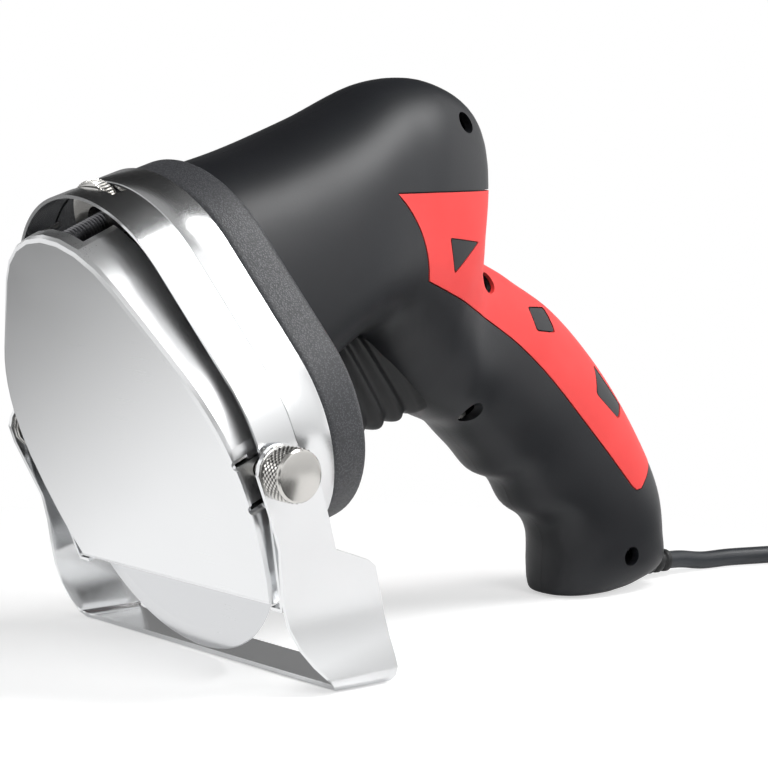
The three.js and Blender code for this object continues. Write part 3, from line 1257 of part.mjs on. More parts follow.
const guard = new THREE.Group();
guard.rotation.x = tilt;
guard.add(
  piece('front_plate', frontPlate(), polished()),
  piece('adjust_rod', adjustRod(), plated()),
);
machine.add(
  guard,
  piece('thumbwheel', thumbwheel(), plated()),
  piece('wheel_clip', wheelClip(), brushed()),
  piece('blade', blade(), polished()),
  piece('blade_nut', bladeNut(), plated()),
  piece('blade_spindle', bladeSpindle(), brushed()),
  piece('spindle_bearing_front', bearing(SPINDLE_RADIUS, frontBearing, 0), brushed()),
  piece('spindle_bearing_rear', bearing(SPINDLE_RADIUS, rearBearing, 0), brushed()),
  piece('spindle_gear', spindleGear(), brushed()),
  piece('idler_gear', idlerGear(), brushed()),
  piece('idler_pin', idlerPin(), brushed()),
  piece('gear_housing', gearHousing(), castBlack()),
  piece('gear_cover', gearCover(), castBlack()),
  piece('steel_ring', steelRing(), polished()),
  piece('guard_sleeve', guardSleeve(), polished()),
  piece('knob', pivotStud(1, KNOB_RADIUS, KNOB_THICKNESS, 0.7, 22), polished()),
  piece('pivot_screw', pivotStud(-1, PIVOT_HEAD_RADIUS, PIVOT_HEAD_THICKNESS, 0.5, 12), plated()),
  piece('stator', stator(), brushed()),
  piece('field_coil_right', fieldCoil(0), copper()),
  piece('field_coil_left', fieldCoil(Math.PI), copper()),
  piece('armature', armature(), brushed()),
  piece('motor_shaft', motorShaft(), brushed()),
  piece('commutator', sleeveOnShaft(COMMUTATOR_RADIUS, COMMUTATOR_FRONT, COMMUTATOR_LENGTH), copper()),
  piece('fan', fan(), charcoal()),
  piece('motor_bearing_front', bearing(SHAFT_RADIUS, motorBearing, MOTOR_V), brushed()),
  piece('motor_bearing_rear', bearing(SHAFT_RADIUS, REAR_BEARING_FRONT, MOTOR_V), brushed()),
  piece('switch_body', switchBlock(0), bakelite()),
  piece('trigger', trigger(), charcoal()),
  piece('trigger_pin', rod(TRIGGER_PIN_RADIUS, at(-TRIGGER_PIN_HALF, TRIGGER_PIN_B, TRIGGER_PIN_V),
    at(TRIGGER_PIN_HALF, TRIGGER_PIN_B, TRIGGER_PIN_V), 16), brushed()),
  piece('trigger_spring', triggerSpring(), brushed()),
  piece('trigger_boot', triggerBoot(), blackRubber()),
  piece('inner_lead', innerLead(), cordRubber()),
  piece('strain_relief', strainRelief(), cordRubber()),
);
coverScrews.forEach((place, i) => machine.add(piece(`cover_screw_${i + 1}`, coverScrew(place), plated())));
housingScrews.forEach((place, i) => machine.add(piece(`housing_screw_${i + 1}`, housingScrew(place), plated())));

const ribs = housingRibs();
for (const [word, sign] of [['right', 1], ['left', -1]]) {
  machine.add(
    piece(`housing_${word}`, housingHalf(sign, ribs), charcoal()),
    piece(`grip_${word}`, grip(sign), redRubber()),
    piece(`pivot_washer_${word}`, pivotWasher(sign), plated()),
    piece(`brush_holder_${word}`, brushHolder(sign), bakelite()),
    piece(`brush_${word}`, brush(sign), matte(0x2a2a2a, 0.7)),
  );
}

// Pieces that lie level on the floor
const level = new THREE.Group();
level.add(
  piece('stand', stand(), polished()),
  piece('cord', freeCord(), cordRubber()),
  piece('cord_coil', cordCoil(), cordRubber()),
  piece('cord_tie', cordTie(), blackRubber()),
  piece('plug', plug(), cordRubber()),
);

// The origin is on the floor, under the middle of the stand's bar.
const slicer = new THREE.Group();
slicer.add(machine, level);
slicer.position.set(0, -pivotY - (BAR_FRONT + BAR_REAR) / 2, BLADE_HEIGHT);

export default slicer;
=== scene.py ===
# %% [markdown]
# # An electric kebab slicer
# A kebab slicer is a small round saw without teeth: a motor in a pistol grip turns a round blade behind a steel
# guard plate. We dress the imported CAD model here. Most pieces ride on a CAD body, so they move with its joint.
# %% Load the CAD frame
import json
import math

import bmesh
import bpy
from mathutils import Matrix, Vector
from mathutils.geometry import interpolate_bezier

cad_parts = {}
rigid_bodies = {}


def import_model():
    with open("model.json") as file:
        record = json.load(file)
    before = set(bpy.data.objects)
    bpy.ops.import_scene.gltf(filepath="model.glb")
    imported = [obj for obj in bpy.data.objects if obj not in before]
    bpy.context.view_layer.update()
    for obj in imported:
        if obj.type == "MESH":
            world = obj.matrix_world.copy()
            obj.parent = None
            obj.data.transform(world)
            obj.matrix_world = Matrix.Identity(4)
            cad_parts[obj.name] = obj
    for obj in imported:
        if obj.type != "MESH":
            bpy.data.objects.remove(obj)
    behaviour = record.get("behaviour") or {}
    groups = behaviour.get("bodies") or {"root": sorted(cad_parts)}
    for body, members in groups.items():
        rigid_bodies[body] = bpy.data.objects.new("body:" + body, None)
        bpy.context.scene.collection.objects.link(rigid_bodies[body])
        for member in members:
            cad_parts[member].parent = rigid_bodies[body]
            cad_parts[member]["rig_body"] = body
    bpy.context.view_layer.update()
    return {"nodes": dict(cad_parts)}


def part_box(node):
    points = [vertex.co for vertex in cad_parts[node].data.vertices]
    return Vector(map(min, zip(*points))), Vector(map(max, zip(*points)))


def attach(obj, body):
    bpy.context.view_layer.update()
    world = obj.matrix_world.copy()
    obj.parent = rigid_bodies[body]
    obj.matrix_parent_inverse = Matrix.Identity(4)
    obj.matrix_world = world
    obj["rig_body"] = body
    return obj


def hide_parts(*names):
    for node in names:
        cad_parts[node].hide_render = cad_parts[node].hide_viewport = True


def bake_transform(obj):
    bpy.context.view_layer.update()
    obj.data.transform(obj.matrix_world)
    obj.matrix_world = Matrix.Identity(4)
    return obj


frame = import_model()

scene = bpy.context.scene
scene.view_settings.view_transform = "Standard"


def in_scene(name, data):
    thing = bpy.data.objects.new(name, data)
    scene.collection.objects.link(thing)
    return thing


# %% [markdown]
# ## Three frames in millimetres
# The machine leans by 17 degrees on its stand, and the guard plate leans 6 degrees more. It is much easier to model
# a leaning thing upright, in its own millimetres, and to lean the finished mesh. So each piece is built in one of
# these frames and its mesh is moved by the frame's matrix at the end.
# %% The frames
PITCH = math.radians(17)
GUARD_TILT = math.radians(6)
BLADE_CENTRE = Matrix.Translation((0, -0.0313015, 0.0475))
MILLIMETRE = Matrix.Scale(0.001, 4)
LEVEL = BLADE_CENTRE @ MILLIMETRE
MACHINE = BLADE_CENTRE @ Matrix.Rotation(PITCH, 4, "X") @ MILLIMETRE
GUARD = BLADE_CENTRE @ Matrix.Rotation(PITCH + GUARD_TILT, 4, "X") @ MILLIMETRE
FLOOR = -47.5


def in_machine(y, z):
    """A level point beside the blade centre, in the leaning machine frame."""
    return y * math.cos(PITCH) + z * math.sin(PITCH), z * math.cos(PITCH) - y * math.sin(PITCH)


print("blade centre:", MACHINE.translation)

# %% [markdown]
# ## The camera
# The photograph was taken from the front right with a long lens, a little above the blade. The camera's place was
# worked out from points that are plain to see in it, such as the plate's edge, the knob and the screw holes.
# %% Camera
AZIMUTH = math.radians(50.92)
ELEVATION = math.radians(6.67)
camera_data = bpy.data.cameras.new("camera")
camera_data.sensor_width = 36
camera_data.lens = 117.2
camera_data.clip_start = 0.01
camera = in_scene("camera", camera_data)
camera.location = (0.5751, -0.4105, 0.1589)
flat_reach = math.cos(ELEVATION)
look = Vector((-math.sin(AZIMUTH) * flat_reach, math.cos(AZIMUTH) * flat_reach, -math.sin(ELEVATION)))
camera.rotation_euler = look.to_track_quat("-Z", "Y").to_euler()
scene.camera = camera
print("camera at", tuple(round(x, 3) for x in camera.location))

# %% [markdown]
# ## Nodes in one line
# A material is a small tree of nodes. The first function adds one node, sets its options and fills its inputs,
# either with a constant or with the output of another node. The next one turns the hex colours that a painter reads
# off a picture into the linear numbers that light adds up in. The others put together what most finishes share: a
# noise, a ramp of tones, a change of range and fine bumps.
# %% Material helpers
def add(tree, kind, inputs=None, **options):
    node = tree.nodes.new(kind)
    for name, value in options.items():
        setattr(node, name, value)
    for name, value in (inputs or {}).items():
        if isinstance(value, bpy.types.NodeSocket):
            tree.links.new(value, node.inputs[name])
        else:
            node.inputs[name].default_value = value
    return node


def colour(code):
    """An sRGB hex code as linear red, green, blue and alpha."""
    parts = [int(code[i:i + 2], 16) / 255 for i in (1, 3, 5)]
    return [p / 12.92 if p <= 0.04045 else ((p + 0.055) / 1.055) ** 2.4 for p in parts] + [1.0]


def per_mm(size):
    """The texture scale at which one feature is this many millimetres wide."""
    return 1000 / size


def maths(tree, operation, *values):
    return add(tree, "ShaderNodeMath", dict(enumerate(values)), operation=operation).outputs["Value"]


def remap(tree, value, low, high, to_low=0.0, to_high=1.0):
    node = add(tree, "ShaderNodeMapRange", {"Value": value, "From Min": low, "From Max": high,
                                            "To Min": to_low, "To Max": to_high})
    return node.outputs["Result"]


def noise(tree, place, size, detail):
    """A noise whose features are this many millimetres wide."""
    node = add(tree, "ShaderNodeTexNoise", {"Vector": place, "Scale": per_mm(size), "Detail": detail})
    return node.outputs["Fac"]


def ramp(tree, value, *stops):
    """The tone at a value, between stops of a position and a linear colour."""
    node = add(tree, "ShaderNodeValToRGB", {"Fac": value})
    elements = node.color_ramp.elements
    while len(elements) < len(stops):
        elements.new(0.5)
    for element, (position, tone) in zip(elements, stops):
        element.position = position
        element.color = tone
    return node.outputs["Color"]


def bumps(tree, height, strength, depth_mm, **options):
    """Fine bumps that follow a texture."""
    values = {"Height": height, "Strength": strength, "Distance": depth_mm * 0.001}
    return add(tree, "ShaderNodeBump", values, **options).outputs["Normal"]


def start_finish(name, **sockets):
    """A new material, its tree, its main shader and the Object coordinates."""
    material = bpy.data.materials.new(name)
    material.use_nodes = True
    tree = material.node_tree
    shader = tree.nodes["Principled BSDF"]
    for socket, value in sockets.items():
        shader.inputs[socket.replace("_", " ")].default_value = value
    place = add(tree, "ShaderNodeTexCoord").outputs["Object"]
    return material, tree, shader, place


def feed(tree, shader, **sockets):
    """Link outputs into the inputs of the main shader."""
    for socket, output in sockets.items():
        tree.links.new(output, shader.inputs[socket.replace("_", " ")])


WHITE = (1, 1, 1, 1)
print("material helpers ready")

# %% [markdown]
# ## Moulded charcoal ABS
# The housing is injection-moulded ABS. Its mould was spark-eroded, which leaves a fine matte grain that scatters
# the highlight into a soft sheen. The grain is about 0.3 mm on the real part; it is drawn at 0.6 mm to show.
# %% Charcoal ABS
def moulded_abs():
    material, tree, shader, place = start_finish("moulded charcoal ABS", IOR=1.53, Specular_IOR_Level=0.4)
    tone = ramp(tree, noise(tree, place, 35, 3.0), (0.3, colour("#16171b")), (0.75, colour("#1c1e22")))
    grain = noise(tree, place, 0.6, 2.0)
    feed(tree, shader, Base_Color=tone, Roughness=remap(tree, grain, 0, 1, 0.36, 0.48),
         Normal=bumps(tree, grain, 0.12, 0.12))
    return material


charcoal_abs = moulded_abs()
print(charcoal_abs.name, len(charcoal_abs.node_tree.nodes), "nodes")

# %% [markdown]
# ## Soft red overmould
# The red panels are a soft rubber moulded over the ABS, so the hand doesn't slip. Such a rubber is dull: it has a
# wide weak highlight, and a colour that is a little uneven.
# %% Red rubber
def red_overmould():
    material, tree, shader, place = start_finish("red soft overmould", IOR=1.49, Roughness=0.52)
    tone = ramp(tree, noise(tree, place, 18, 4.0), (0.3, colour("#e9403e")), (0.7, colour("#f14846")))
    feed(tree, shader, Base_Color=tone, Normal=bumps(tree, noise(tree, place, 0.7, 2.0), 0.12, 0.1))
    return material


red_rubber = red_overmould()
print(red_rubber.name)

# %% [markdown]
# ## Speckled paint on cast aluminium
# The gear head is cast and sprayed with a hammer-grey paint whose fine drops catch the light as pale specks. A
# Voronoi pattern gives one cell to each drop, about 0.5 mm apart, and only the middle of a cell is pale.
# %% Speckled paint
def speckled_paint():
    material, tree, shader, place = start_finish("speckled charcoal paint", IOR=1.5)
    drops = add(tree, "ShaderNodeTexVoronoi", {"Vector": place, "Scale": per_mm(0.5)}).outputs["Distance"]
    tone = ramp(tree, drops, (0.1, colour("#5a5b5f")), (0.5, colour("#37383b")))
    feed(tree, shader, Base_Color=tone, Roughness=remap(tree, drops, 0, 1, 0.34, 0.6),
         Normal=bumps(tree, drops, 0.35, 0.2, invert=True))
    return material


gear_paint = speckled_paint()
print(gear_paint.name)

# %% [markdown]
# ## Steel sheet and plated steel
# Stainless sheet comes from the rolls with lines along one way. Polishing leaves only a trace of them, which
# stretches each highlight a little. The lines are 0.25 mm apart and 60 mm long here; on the real sheet they are
# finer. The same function makes the satin plate, the ground blade, the plated knob and the machined steel inside.
# A knurl has painted shade in its grooves: each point of its mesh carries how deep in a groove it lies.
# %% Steel
def rolled_steel(name, code, low, high, line_mm, length_mm, strength, groove_shade_tone=None):
    material, tree, shader, place = start_finish(name, Metallic=1.0, Base_Color=colour(code))
    # Painted shade: points deep in a knurl's grooves take the dark tone in place of the steel's colour.
    if groove_shade_tone:
        depth = add(tree, "ShaderNodeAttribute", attribute_name="groove_shade").outputs["Fac"]
        feed(tree, shader, Base_Color=ramp(tree, depth, (0.35, colour(code)), (0.75, colour(groove_shade_tone))))
    scale = (per_mm(length_mm), per_mm(line_mm), per_mm(line_mm))
    along = add(tree, "ShaderNodeMapping", {"Vector": place, "Scale": scale}).outputs["Vector"]
    lines = add(tree, "ShaderNodeTexNoise", {"Vector": along, "Scale": 1.0, "Detail": 3.0}).outputs["Fac"]
    mixed = maths(tree, "MULTIPLY", lines, noise(tree, place, 25, 2.0))
    feed(tree, shader, Roughness=remap(tree, mixed, 0.1, 0.45, low, high),
         Normal=bumps(tree, lines, strength, 0.05))
    return material


polished_steel = rolled_steel("polished stainless sheet", "#eeeff0", 0.17, 0.27, 0.25, 60, 0.04)
satin_steel = rolled_steel("satin stainless sheet", "#eeeff0", 0.27, 0.36, 0.25, 60, 0.04)
blade_steel = rolled_steel("ground blade steel", "#d6d7d9", 0.18, 0.28, 0.3, 8, 0.08)
plated_steel = rolled_steel("bright nickel plate", "#d8d6d2", 0.16, 0.26, 0.4, 3, 0.05)
# The knurled plate paints shade into its grooves with a dark tone.
knurled_steel = rolled_steel("knurled nickel plate", "#d8d6d2", 0.16, 0.26, 0.4, 3, 0.05, "#2c2c2d")
oiled_steel = rolled_steel("oiled dark steel", "#77777a", 0.3, 0.42, 0.3, 2, 0.1)
machined_steel = rolled_steel("machined steel", "#b4b5b7", 0.3, 0.45, 0.3, 2, 0.15)
winding_copper = rolled_steel("enamelled copper", "#b8703f", 0.3, 0.45, 0.4, 12, 0.3)
print("steels:", polished_steel.name, blade_steel.name, plated_steel.name)

# %% [markdown]
# ## Rubber, lead sheath, phenolic and carbon
# The other dark pieces are dull: the boot's rubber, the satin PVC sheath of the lead, the brown phenolic of the
# switch and the pressed carbon of the brushes. A soft cloud in the colour and a fine grain keep them from looking
# like paint.
# %% Dull finishes
def dull(name, dark, pale, roughness, grain_mm, strength):
    material, tree, shader, place = start_finish(name, IOR=1.5, Roughness=roughness)
    tone = ramp(tree, noise(tree, place, 9, 5.0), (0.3, colour(dark)), (0.7, colour(pale)))
    feed(tree, shader, Base_Color=tone, Normal=bumps(tree, noise(tree, place, grain_mm, 2.0), strength, 0.1))
    return material


boot_rubber = dull("moulded black rubber", "#111213", "#17181a", 0.5, 0.8, 0.2)
lead_sheath = dull("satin lead sheath", "#26292d", "#2e3136", 0.42, 1.2, 0.08)
phenolic = dull("brown phenolic", "#3f2a20", "#553827", 0.45, 0.8, 0.2)
carbon = dull("pressed carbon", "#202021", "#2c2c2d", 0.7, 0.5, 0.3)
print("dull finishes:", boot_rubber.name, lead_sheath.name)

# %% [markdown]
# ## From a bmesh to a piece
# Every new piece ends the same way: its mesh is moved out of its millimetre frame, its normals are turned outwards,
# edges sharper than an angle stay crisp, the piece is told which body it rides on, and the CAD nodes it stands for
# are hidden.
# %% Finishing a piece
def settle(piece, body, nodes, material, angle=32):
    piece.data.materials.clear()
    piece.data.materials.append(material)
    piece.data.shade_smooth()
    piece.data.set_sharp_from_angle(angle=math.radians(angle))
    if body:
        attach(piece, body)
    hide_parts(*nodes)


def linked(name, bm):
    """A new object in the scene that takes over the bmesh."""
    mesh = bpy.data.meshes.new(name)
    bm.to_mesh(mesh)
    bm.free()
    return in_scene(name, mesh)


def as_object(name, bm, place):
    bmesh.ops.recalc_face_normals(bm, faces=bm.faces)
    bm.transform(place)
    return linked(name, bm)


def verts_of(made, key="geom"):
    return [item for item in made[key] if isinstance(item, bmesh.types.BMVert)]


def bevel_edges(bm, edges, width, segments):
    bmesh.ops.bevel(bm, geom=edges, offset=width, offset_type="OFFSET", affect="EDGES", segments=segments,
                    profile=0.5, material=-1, clamp_overlap=True)


def new_ring(bm, count):
    """A ring of vertices that is still to be put in place, and its edges."""
    verts = bmesh.ops.create_circle(bm, segments=count, radius=1)["verts"]
    return verts, list(dict.fromkeys(e for v in verts for e in v.link_edges))


def draw_back(bm, faces, distance, along=(0, 1, 0)):
    made = bmesh.ops.extrude_face_region(bm, geom=faces)
    bmesh.ops.translate(bm, verts=verts_of(made), vec=Vector(along) * distance)


def turn(bm, profile, start, direction, steps):
    """Spin a profile of radius and distance along an axis into a closed turned piece."""
    axis = Vector(direction).normalized()
    out = axis.orthogonal().normalized()
    points = [bm.verts.new(Vector(start) + axis * along + out * radius) for radius, along in profile]
    edges = [bm.edges.new(pair) for pair in zip(points, points[1:])]
    bmesh.ops.spin(bm, geom=points + edges, cent=start, axis=axis, angle=math.tau, steps=steps, use_merge=True)
    bmesh.ops.remove_doubles(bm, verts=bm.verts, dist=1e-4)


print("helpers ready")

# %% [markdown]
# ## The lead
# A mains lead of such a tool is about 1.6 m long. The photograph shows only its first hand's width, so the rest is
# put away in a flat coil of two layers beside the grip, out of view. A curve with a round bevel is the natural way
# to draw a lead: the centre line is its length.
# %% Lead route
LEAD_RADIUS = 2.9
COIL_MIDDLE = (61, 282)
COIL_OUTER = 46
COIL_PITCH = 6.4
COIL_TURNS = 3.5
COIL_TAIL = 44
COIL_STEPS = 24
FREE_POINTS = 18
RELIEF_DROP = math.radians(4)
RELIEF_BASE = Vector((0, 195, FLOOR + 5.6))
RELIEF_AXIS = Vector((0, math.cos(RELIEF_DROP), -math.sin(RELIEF_DROP)))
RELIEF_LENGTH = 13
on_floor = FLOOR + LEAD_RADIUS


def smooth_curve(points, share):
    """A point on a centripetal Catmull-Rom curve through the points, with an equal share for each span."""
    spans = len(points) - 1
    place = min(max(share * spans, 0), spans)
    i = min(int(place), spans - 1)
    p1, p2 = points[i], points[i + 1]
    p0 = points[i - 1] if i > 0 else p1 * 2 - p2
    p3 = points[i + 2] if i + 2 <= spans else p2 * 2 - p1
    d0, d1, d2 = (max((b - a).length ** 0.5, 1e-6) for a, b in ((p0, p1), (p1, p2), (p2, p3)))
    t1 = ((p1 - p0) / d0 - (p2 - p0) / (d0 + d1) + (p2 - p1) / d1) * d1
    t2 = ((p2 - p1) / d1 - (p3 - p1) / (d1 + d2) + (p3 - p2) / d2) * d1
    w = place - i
    return p1 + t1 * w + (p2 * 3 - p1 * 3 - t1 * 2 - t2) * w * w + (p1 * 2 - p2 * 2 + t1 + t2) * w ** 3


relief_tip = RELIEF_BASE + RELIEF_AXIS * (RELIEF_LENGTH + 0.3)
coil_x, coil_y = COIL_MIDDLE
coil_left = coil_x - COIL_OUTER
floor_marks = [(1, 224), (3, 235), (7, 246), (11, 257), (coil_left, coil_y - 14), (coil_left, coil_y - 6)]
free_marks = [relief_tip, relief_tip + RELIEF_AXIS * 7] + [Vector((x, y, on_floor)) for x, y in floor_marks]
lead_route = [smooth_curve(free_marks, i / (FREE_POINTS - 1)) for i in range(FREE_POINTS)]
half_way = math.tau * COIL_TURNS
coil_steps = int(COIL_STEPS * 2 * COIL_TURNS)
for i in range(coil_steps + 1):
    angle = 2 * half_way * i / coil_steps
    radius = COIL_OUTER - COIL_PITCH * COIL_TURNS + COIL_PITCH * abs(angle - half_way) / math.tau
    share = min(max((angle - half_way + math.pi / 2) / math.pi, 0), 1)
    height = on_floor + COIL_PITCH * share * share * (3 - 2 * share)
    lead_route.append(Vector((coil_x - radius * math.cos(angle), coil_y + radius * math.sin(angle), height)))
for tail in (COIL_TAIL / 2, COIL_TAIL):
    lead_route.append(Vector((coil_left, coil_y + tail, on_floor + COIL_PITCH)))
print("lead points:", len(lead_route))

# %% Lead curve
lead_data = bpy.data.curves.new("lead", "CURVE")
lead_data.dimensions = "3D"
lead_data.bevel_depth = LEAD_RADIUS * 0.001
lead_data.bevel_resolution = 5
lead_data.resolution_u = 3
lead_data.use_fill_caps = True
line = lead_data.splines.new("BEZIER")
line.bezier_points.add(len(lead_route) - 1)
for point, place in zip(line.bezier_points, lead_route):
    point.co = LEVEL @ place
    point.handle_left_type = point.handle_right_type = "AUTO"
lead = in_scene("lead", lead_data)
lead_data.materials.append(lead_sheath)
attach(lead, "frame")
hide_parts("cord", "cord_coil")

# %% [markdown]
# ## Pieces that the CAD already shapes well
# A sheet part such as the guard plate is exact in the CAD, but its mesh is loose triangles with hard shading. A
# copy is merged, its flat areas become single faces, and a small live bevel breaks the edges so that they catch the
# light.
# %% Dressing a CAD node
def dress(node, name, material, edge_mm, angle=32, segments=2, rides=True):
    source = frame["nodes"][node]
    bm = bmesh.new()
    bm.from_mesh(source.data)
    bmesh.ops.remove_doubles(bm, verts=bm.verts, dist=2e-6)
    bmesh.ops.dissolve_limit(bm, angle_limit=math.radians(0.5), verts=bm.verts, edges=bm.edges)
    piece = linked(name, bm)
    settle(piece, source["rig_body"] if rides else None, [node], material, angle)
    if edge_mm:
        bevel = piece.modifiers.new("broken edges", "BEVEL")
        bevel.width = edge_mm * 0.001
        bevel.segments = segments
        bevel.limit_method = "ANGLE"
        bevel.angle_limit = math.radians(angle)
        bevel.harden_normals = True
    return piece


guard_plate = dress("front_plate", "guard_plate", satin_steel, 0.25, 24)
bent_stand = dress("stand", "bent_stand", polished_steel, 0.3, 30)
PIN_LENGTH = 0.018
lead_plug = dress("plug", "lead_plug", lead_sheath, 0.4, 40)
lead_plug.data.materials.append(plated_steel)
pins_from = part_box("plug")[1].y - PIN_LENGTH
for face in lead_plug.data.polygons:
    face.material_index = int(face.center.y > pins_from)
lead_tie = dress("cord_tie", "lead_tie", boot_rubber, 0.2)
dress("wheel_clip", "wheel_keeper", machined_steel, 0.2)
print("dressed:", guard_plate.name, bent_stand.name, lead_plug.name)

print("lead declared:", lead.name)

# %% [markdown]
# ## The strain relief
# Where the lead leaves the heel, a ribbed rubber sleeve keeps it from kinking. It is a turned form, so its profile
# is drawn once and spun.
# %% Strain relief
RIBS = 3
RIB_RADIUS = 4.5
RIB_FROM = 1.5
RIB_TAPER = 0.8
RIB_FORM = ((-0.7, 0.06), (-0.9, 0.15), (-0.9, 0.36), (-0.6, 0.46), (-0.1, 0.54), (0, 0.62), (0, 0.9), (-0.15, 1))
relief = bmesh.new()
relief_profile = [(0, -4), (RIB_RADIUS, -4), (RIB_RADIUS, 1.2), (4.3, RIB_FROM)]
rib_step = (RELIEF_LENGTH - RIB_FROM) / RIBS
for i in range(RIBS):
    rib = RIB_RADIUS - RIB_TAPER * (i + 1) / RIBS
    relief_profile += [(rib + deep, RIB_FROM + (i + share) * rib_step) for deep, share in RIB_FORM]
relief_profile.append((0, RELIEF_LENGTH))
turn(relief, relief_profile, RELIEF_BASE, RELIEF_AXIS, 40)
lead_relief = as_object("lead_relief", relief, LEVEL)
settle(lead_relief, "frame", ["strain_relief"], boot_rubber, 50)
print("relief ribs:", RIBS)

# %% [markdown]
# ## The housing's form
# The barrel and the grip are one flowing tube. It is drawn as sections from the gear head back round the barrel's
# end and down to the heel: an under point, a top point, a half-width and a narrowing towards the top. A smooth
# curve through the sections gives many rings, and bridging each ring to the next gives the skin.
# %% Housing sections
heel_front = in_machine(155.5, FLOOR)
heel_back = in_machine(181, FLOOR)
sections = [
    ((40.3, 13), (40.3, 82.3), 36, 0.14),
    ((58, 17), (60.2, 81.6), 35.2, 0.15),
    ((72, 20), (87.5, 82.8), 33.6, 0.17),
    ((79, 18), (112.5, 85.2), 30.8, 0.22),
    ((84, 9), (128, 80.9), 29.4, 0.15),
    ((88.5, 0), (140.3, 68), 27, 0.12),
    ((92.5, -7), (134.6, 45), 24, 0.12),
    ((101.3, -16.3), (128.1, 30), 22.2, 0.16),
    ((108.8, -23.2), (140.6, 15.5), 20, 0.1),
    ((115.5, -36.4), (155.5, -0.6), 19, 0.08),
    ((123.4, -46.8), (169.3, -24.6), 17.6, 0.03),
    ((130.4, -59.2), (178.3, -49.2), 17.7, 0.02),
    ((137, -70.8), (182.4, -70.8), 18, 0),
    ((133.9, -82.3), (181.3, -85.6), 17.5, 0),
    ((132.5, -86.5), (178.8, -95.6), 16.6, 0),
    ((heel_front[0] - 2.6, heel_front[1] + 1.8), (heel_back[0] + 8.4, heel_back[1] + 0.6), 14, 0),
    (heel_front, heel_back, 9.5, 0),
]
under_marks = [Vector((half, *under)) for under, top, half, taper in sections]
top_marks = [Vector((taper, *top)) for under, top, half, taper in sections]


def bulge(value, power):
    return math.copysign(abs(value) ** (2 / power), value)


SQUARENESS = 2.5
FINGERS_FROM, FINGERS_TO = 0.5, 0.76
FINGER_DEPTH = 1.1
FINGER_START = 0.5294
FINGER_PERIOD = 0.0875


def finger_wave(share, rise):
    """Shallow finger hollows down the front of the grip."""
    if rise > 0 or not FINGERS_FROM < share < FINGERS_TO:
        return 0
    fade = math.sin(math.pi * (share - FINGERS_FROM) / (FINGERS_TO - FINGERS_FROM))
    return FINGER_DEPTH * fade * math.sin(math.tau * (share - FINGER_START) / FINGER_PERIOD) * rise * rise


def place_ring(ring, share, wall, waves):
    under = smooth_curve(under_marks, share)
    top = smooth_curve(top_marks, share)
    low, high = Vector((0, under.y, under.z)), Vector((0, top.y, top.z))
    middle = (low + high) / 2
    reach = (high - middle) * (1 - wall / (high - middle).length)
    for j, vert in enumerate(ring):
        angle = math.tau * j / len(ring)
        rise = bulge(math.sin(angle), SQUARENESS)
        vert.co = middle + reach * rise
        if waves:
            vert.co += reach.normalized() * finger_wave(share, rise)
        vert.co.x = (under.x - wall) * (1 - top.x * rise) * bulge(math.cos(angle), SQUARENESS)


LAST_SECTION = len(sections) - 1


def housing_form(wall, last=LAST_SECTION, count=96, per_span=8, waves=False, lead_in=0):
    """The closed tube of the housing, moved in by a wall, up to one of its sections."""
    bm = bmesh.new()
    before = None
    for i in range(last * per_span + 1):
        ring, edges = new_ring(bm, count)
        place_ring(ring, i / (LAST_SECTION * per_span), wall, waves)
        if i == 0 and lead_in:
            bmesh.ops.translate(bm, verts=ring, vec=(0, -lead_in, 0))
        if before is None:
            bmesh.ops.contextual_create(bm, geom=edges)
        else:
            bmesh.ops.bridge_loops(bm, edges=before + edges)
        before = edges
    bmesh.ops.contextual_create(bm, geom=before)
    return bm


print("housing sections:", len(sections))

# %% [markdown]
# ## Cutting one form with another
# The red panels lie flush in the housing, with a fine groove round them. They are cut out of the same form, so that
# they match it to a hair: a Boolean with a prism of the panel's outline, and another one with the form moved in by
# the panel's thickness.
# %% Boolean helper
IDENTITY = Matrix.Identity(4)


def carve(piece, tool, operation="DIFFERENCE"):
    modifier = piece.modifiers.new("carve", "BOOLEAN")
    modifier.object = tool
    modifier.operation = operation
    modifier.solver = "EXACT"
    bpy.context.view_layer.update()
    carved = bpy.data.meshes.new_from_object(piece.evaluated_get(bpy.context.evaluated_depsgraph_get()))
    piece.modifiers.clear()
    piece.data = carved


def scrap(*tools):
    for tool in tools:
        bpy.data.objects.remove(tool)


def prism(name, outline, left, right, corner=0):
    """A side outline in the machine's depth and height, drawn across from left to right."""
    bm = bmesh.new()
    face = bm.faces.new([bm.verts.new((left, b, v)) for b, v in outline])
    draw_back(bm, [face], right - left, (1, 0, 0))
    if corner:
        across = [e for e in bm.edges if abs((e.verts[0].co - e.verts[1].co).normalized().x) > 0.99]
        bevel_edges(bm, across, corner, 4)
    return as_object(name, bm, IDENTITY)


def pin(name, radius, start, end, sides=40):
    start, end = Vector(start), Vector(end)
    length = (end - start).length
    bm = bmesh.new()
    turn(bm, [(0, 0), (radius, 0), (radius, length), (0, length)], start, end - start, sides)
    return as_object(name, bm, IDENTITY)


def block(name, size, middle):
    bm = bmesh.new()
    bmesh.ops.create_cube(bm, size=1)
    bmesh.ops.scale(bm, vec=size, verts=bm.verts)
    bmesh.ops.translate(bm, vec=middle, verts=bm.verts)
    return as_object(name, bm, IDENTITY)


def spread(points, grow):
    """An outline drawn larger about its middle."""
    middle = sum((Vector(p) for p in points), Vector((0, 0))) / len(points)
    return [tuple(middle + (Vector(p) - middle) * (1 + 2 * grow / (Vector(p) - middle).length)) for p in points]


def widen(points, grow):
    """An outline moved out along the normal at each of its corners."""
    moved = []
    for before, here, after in zip(points[-1:] + points[:-1], points, points[1:] + points[:1]):
        along = (Vector(after) - Vector(before)).normalized()
        moved.append((here[0] + along.y * grow, here[1] - along.x * grow))
    return moved


print("cutters ready")

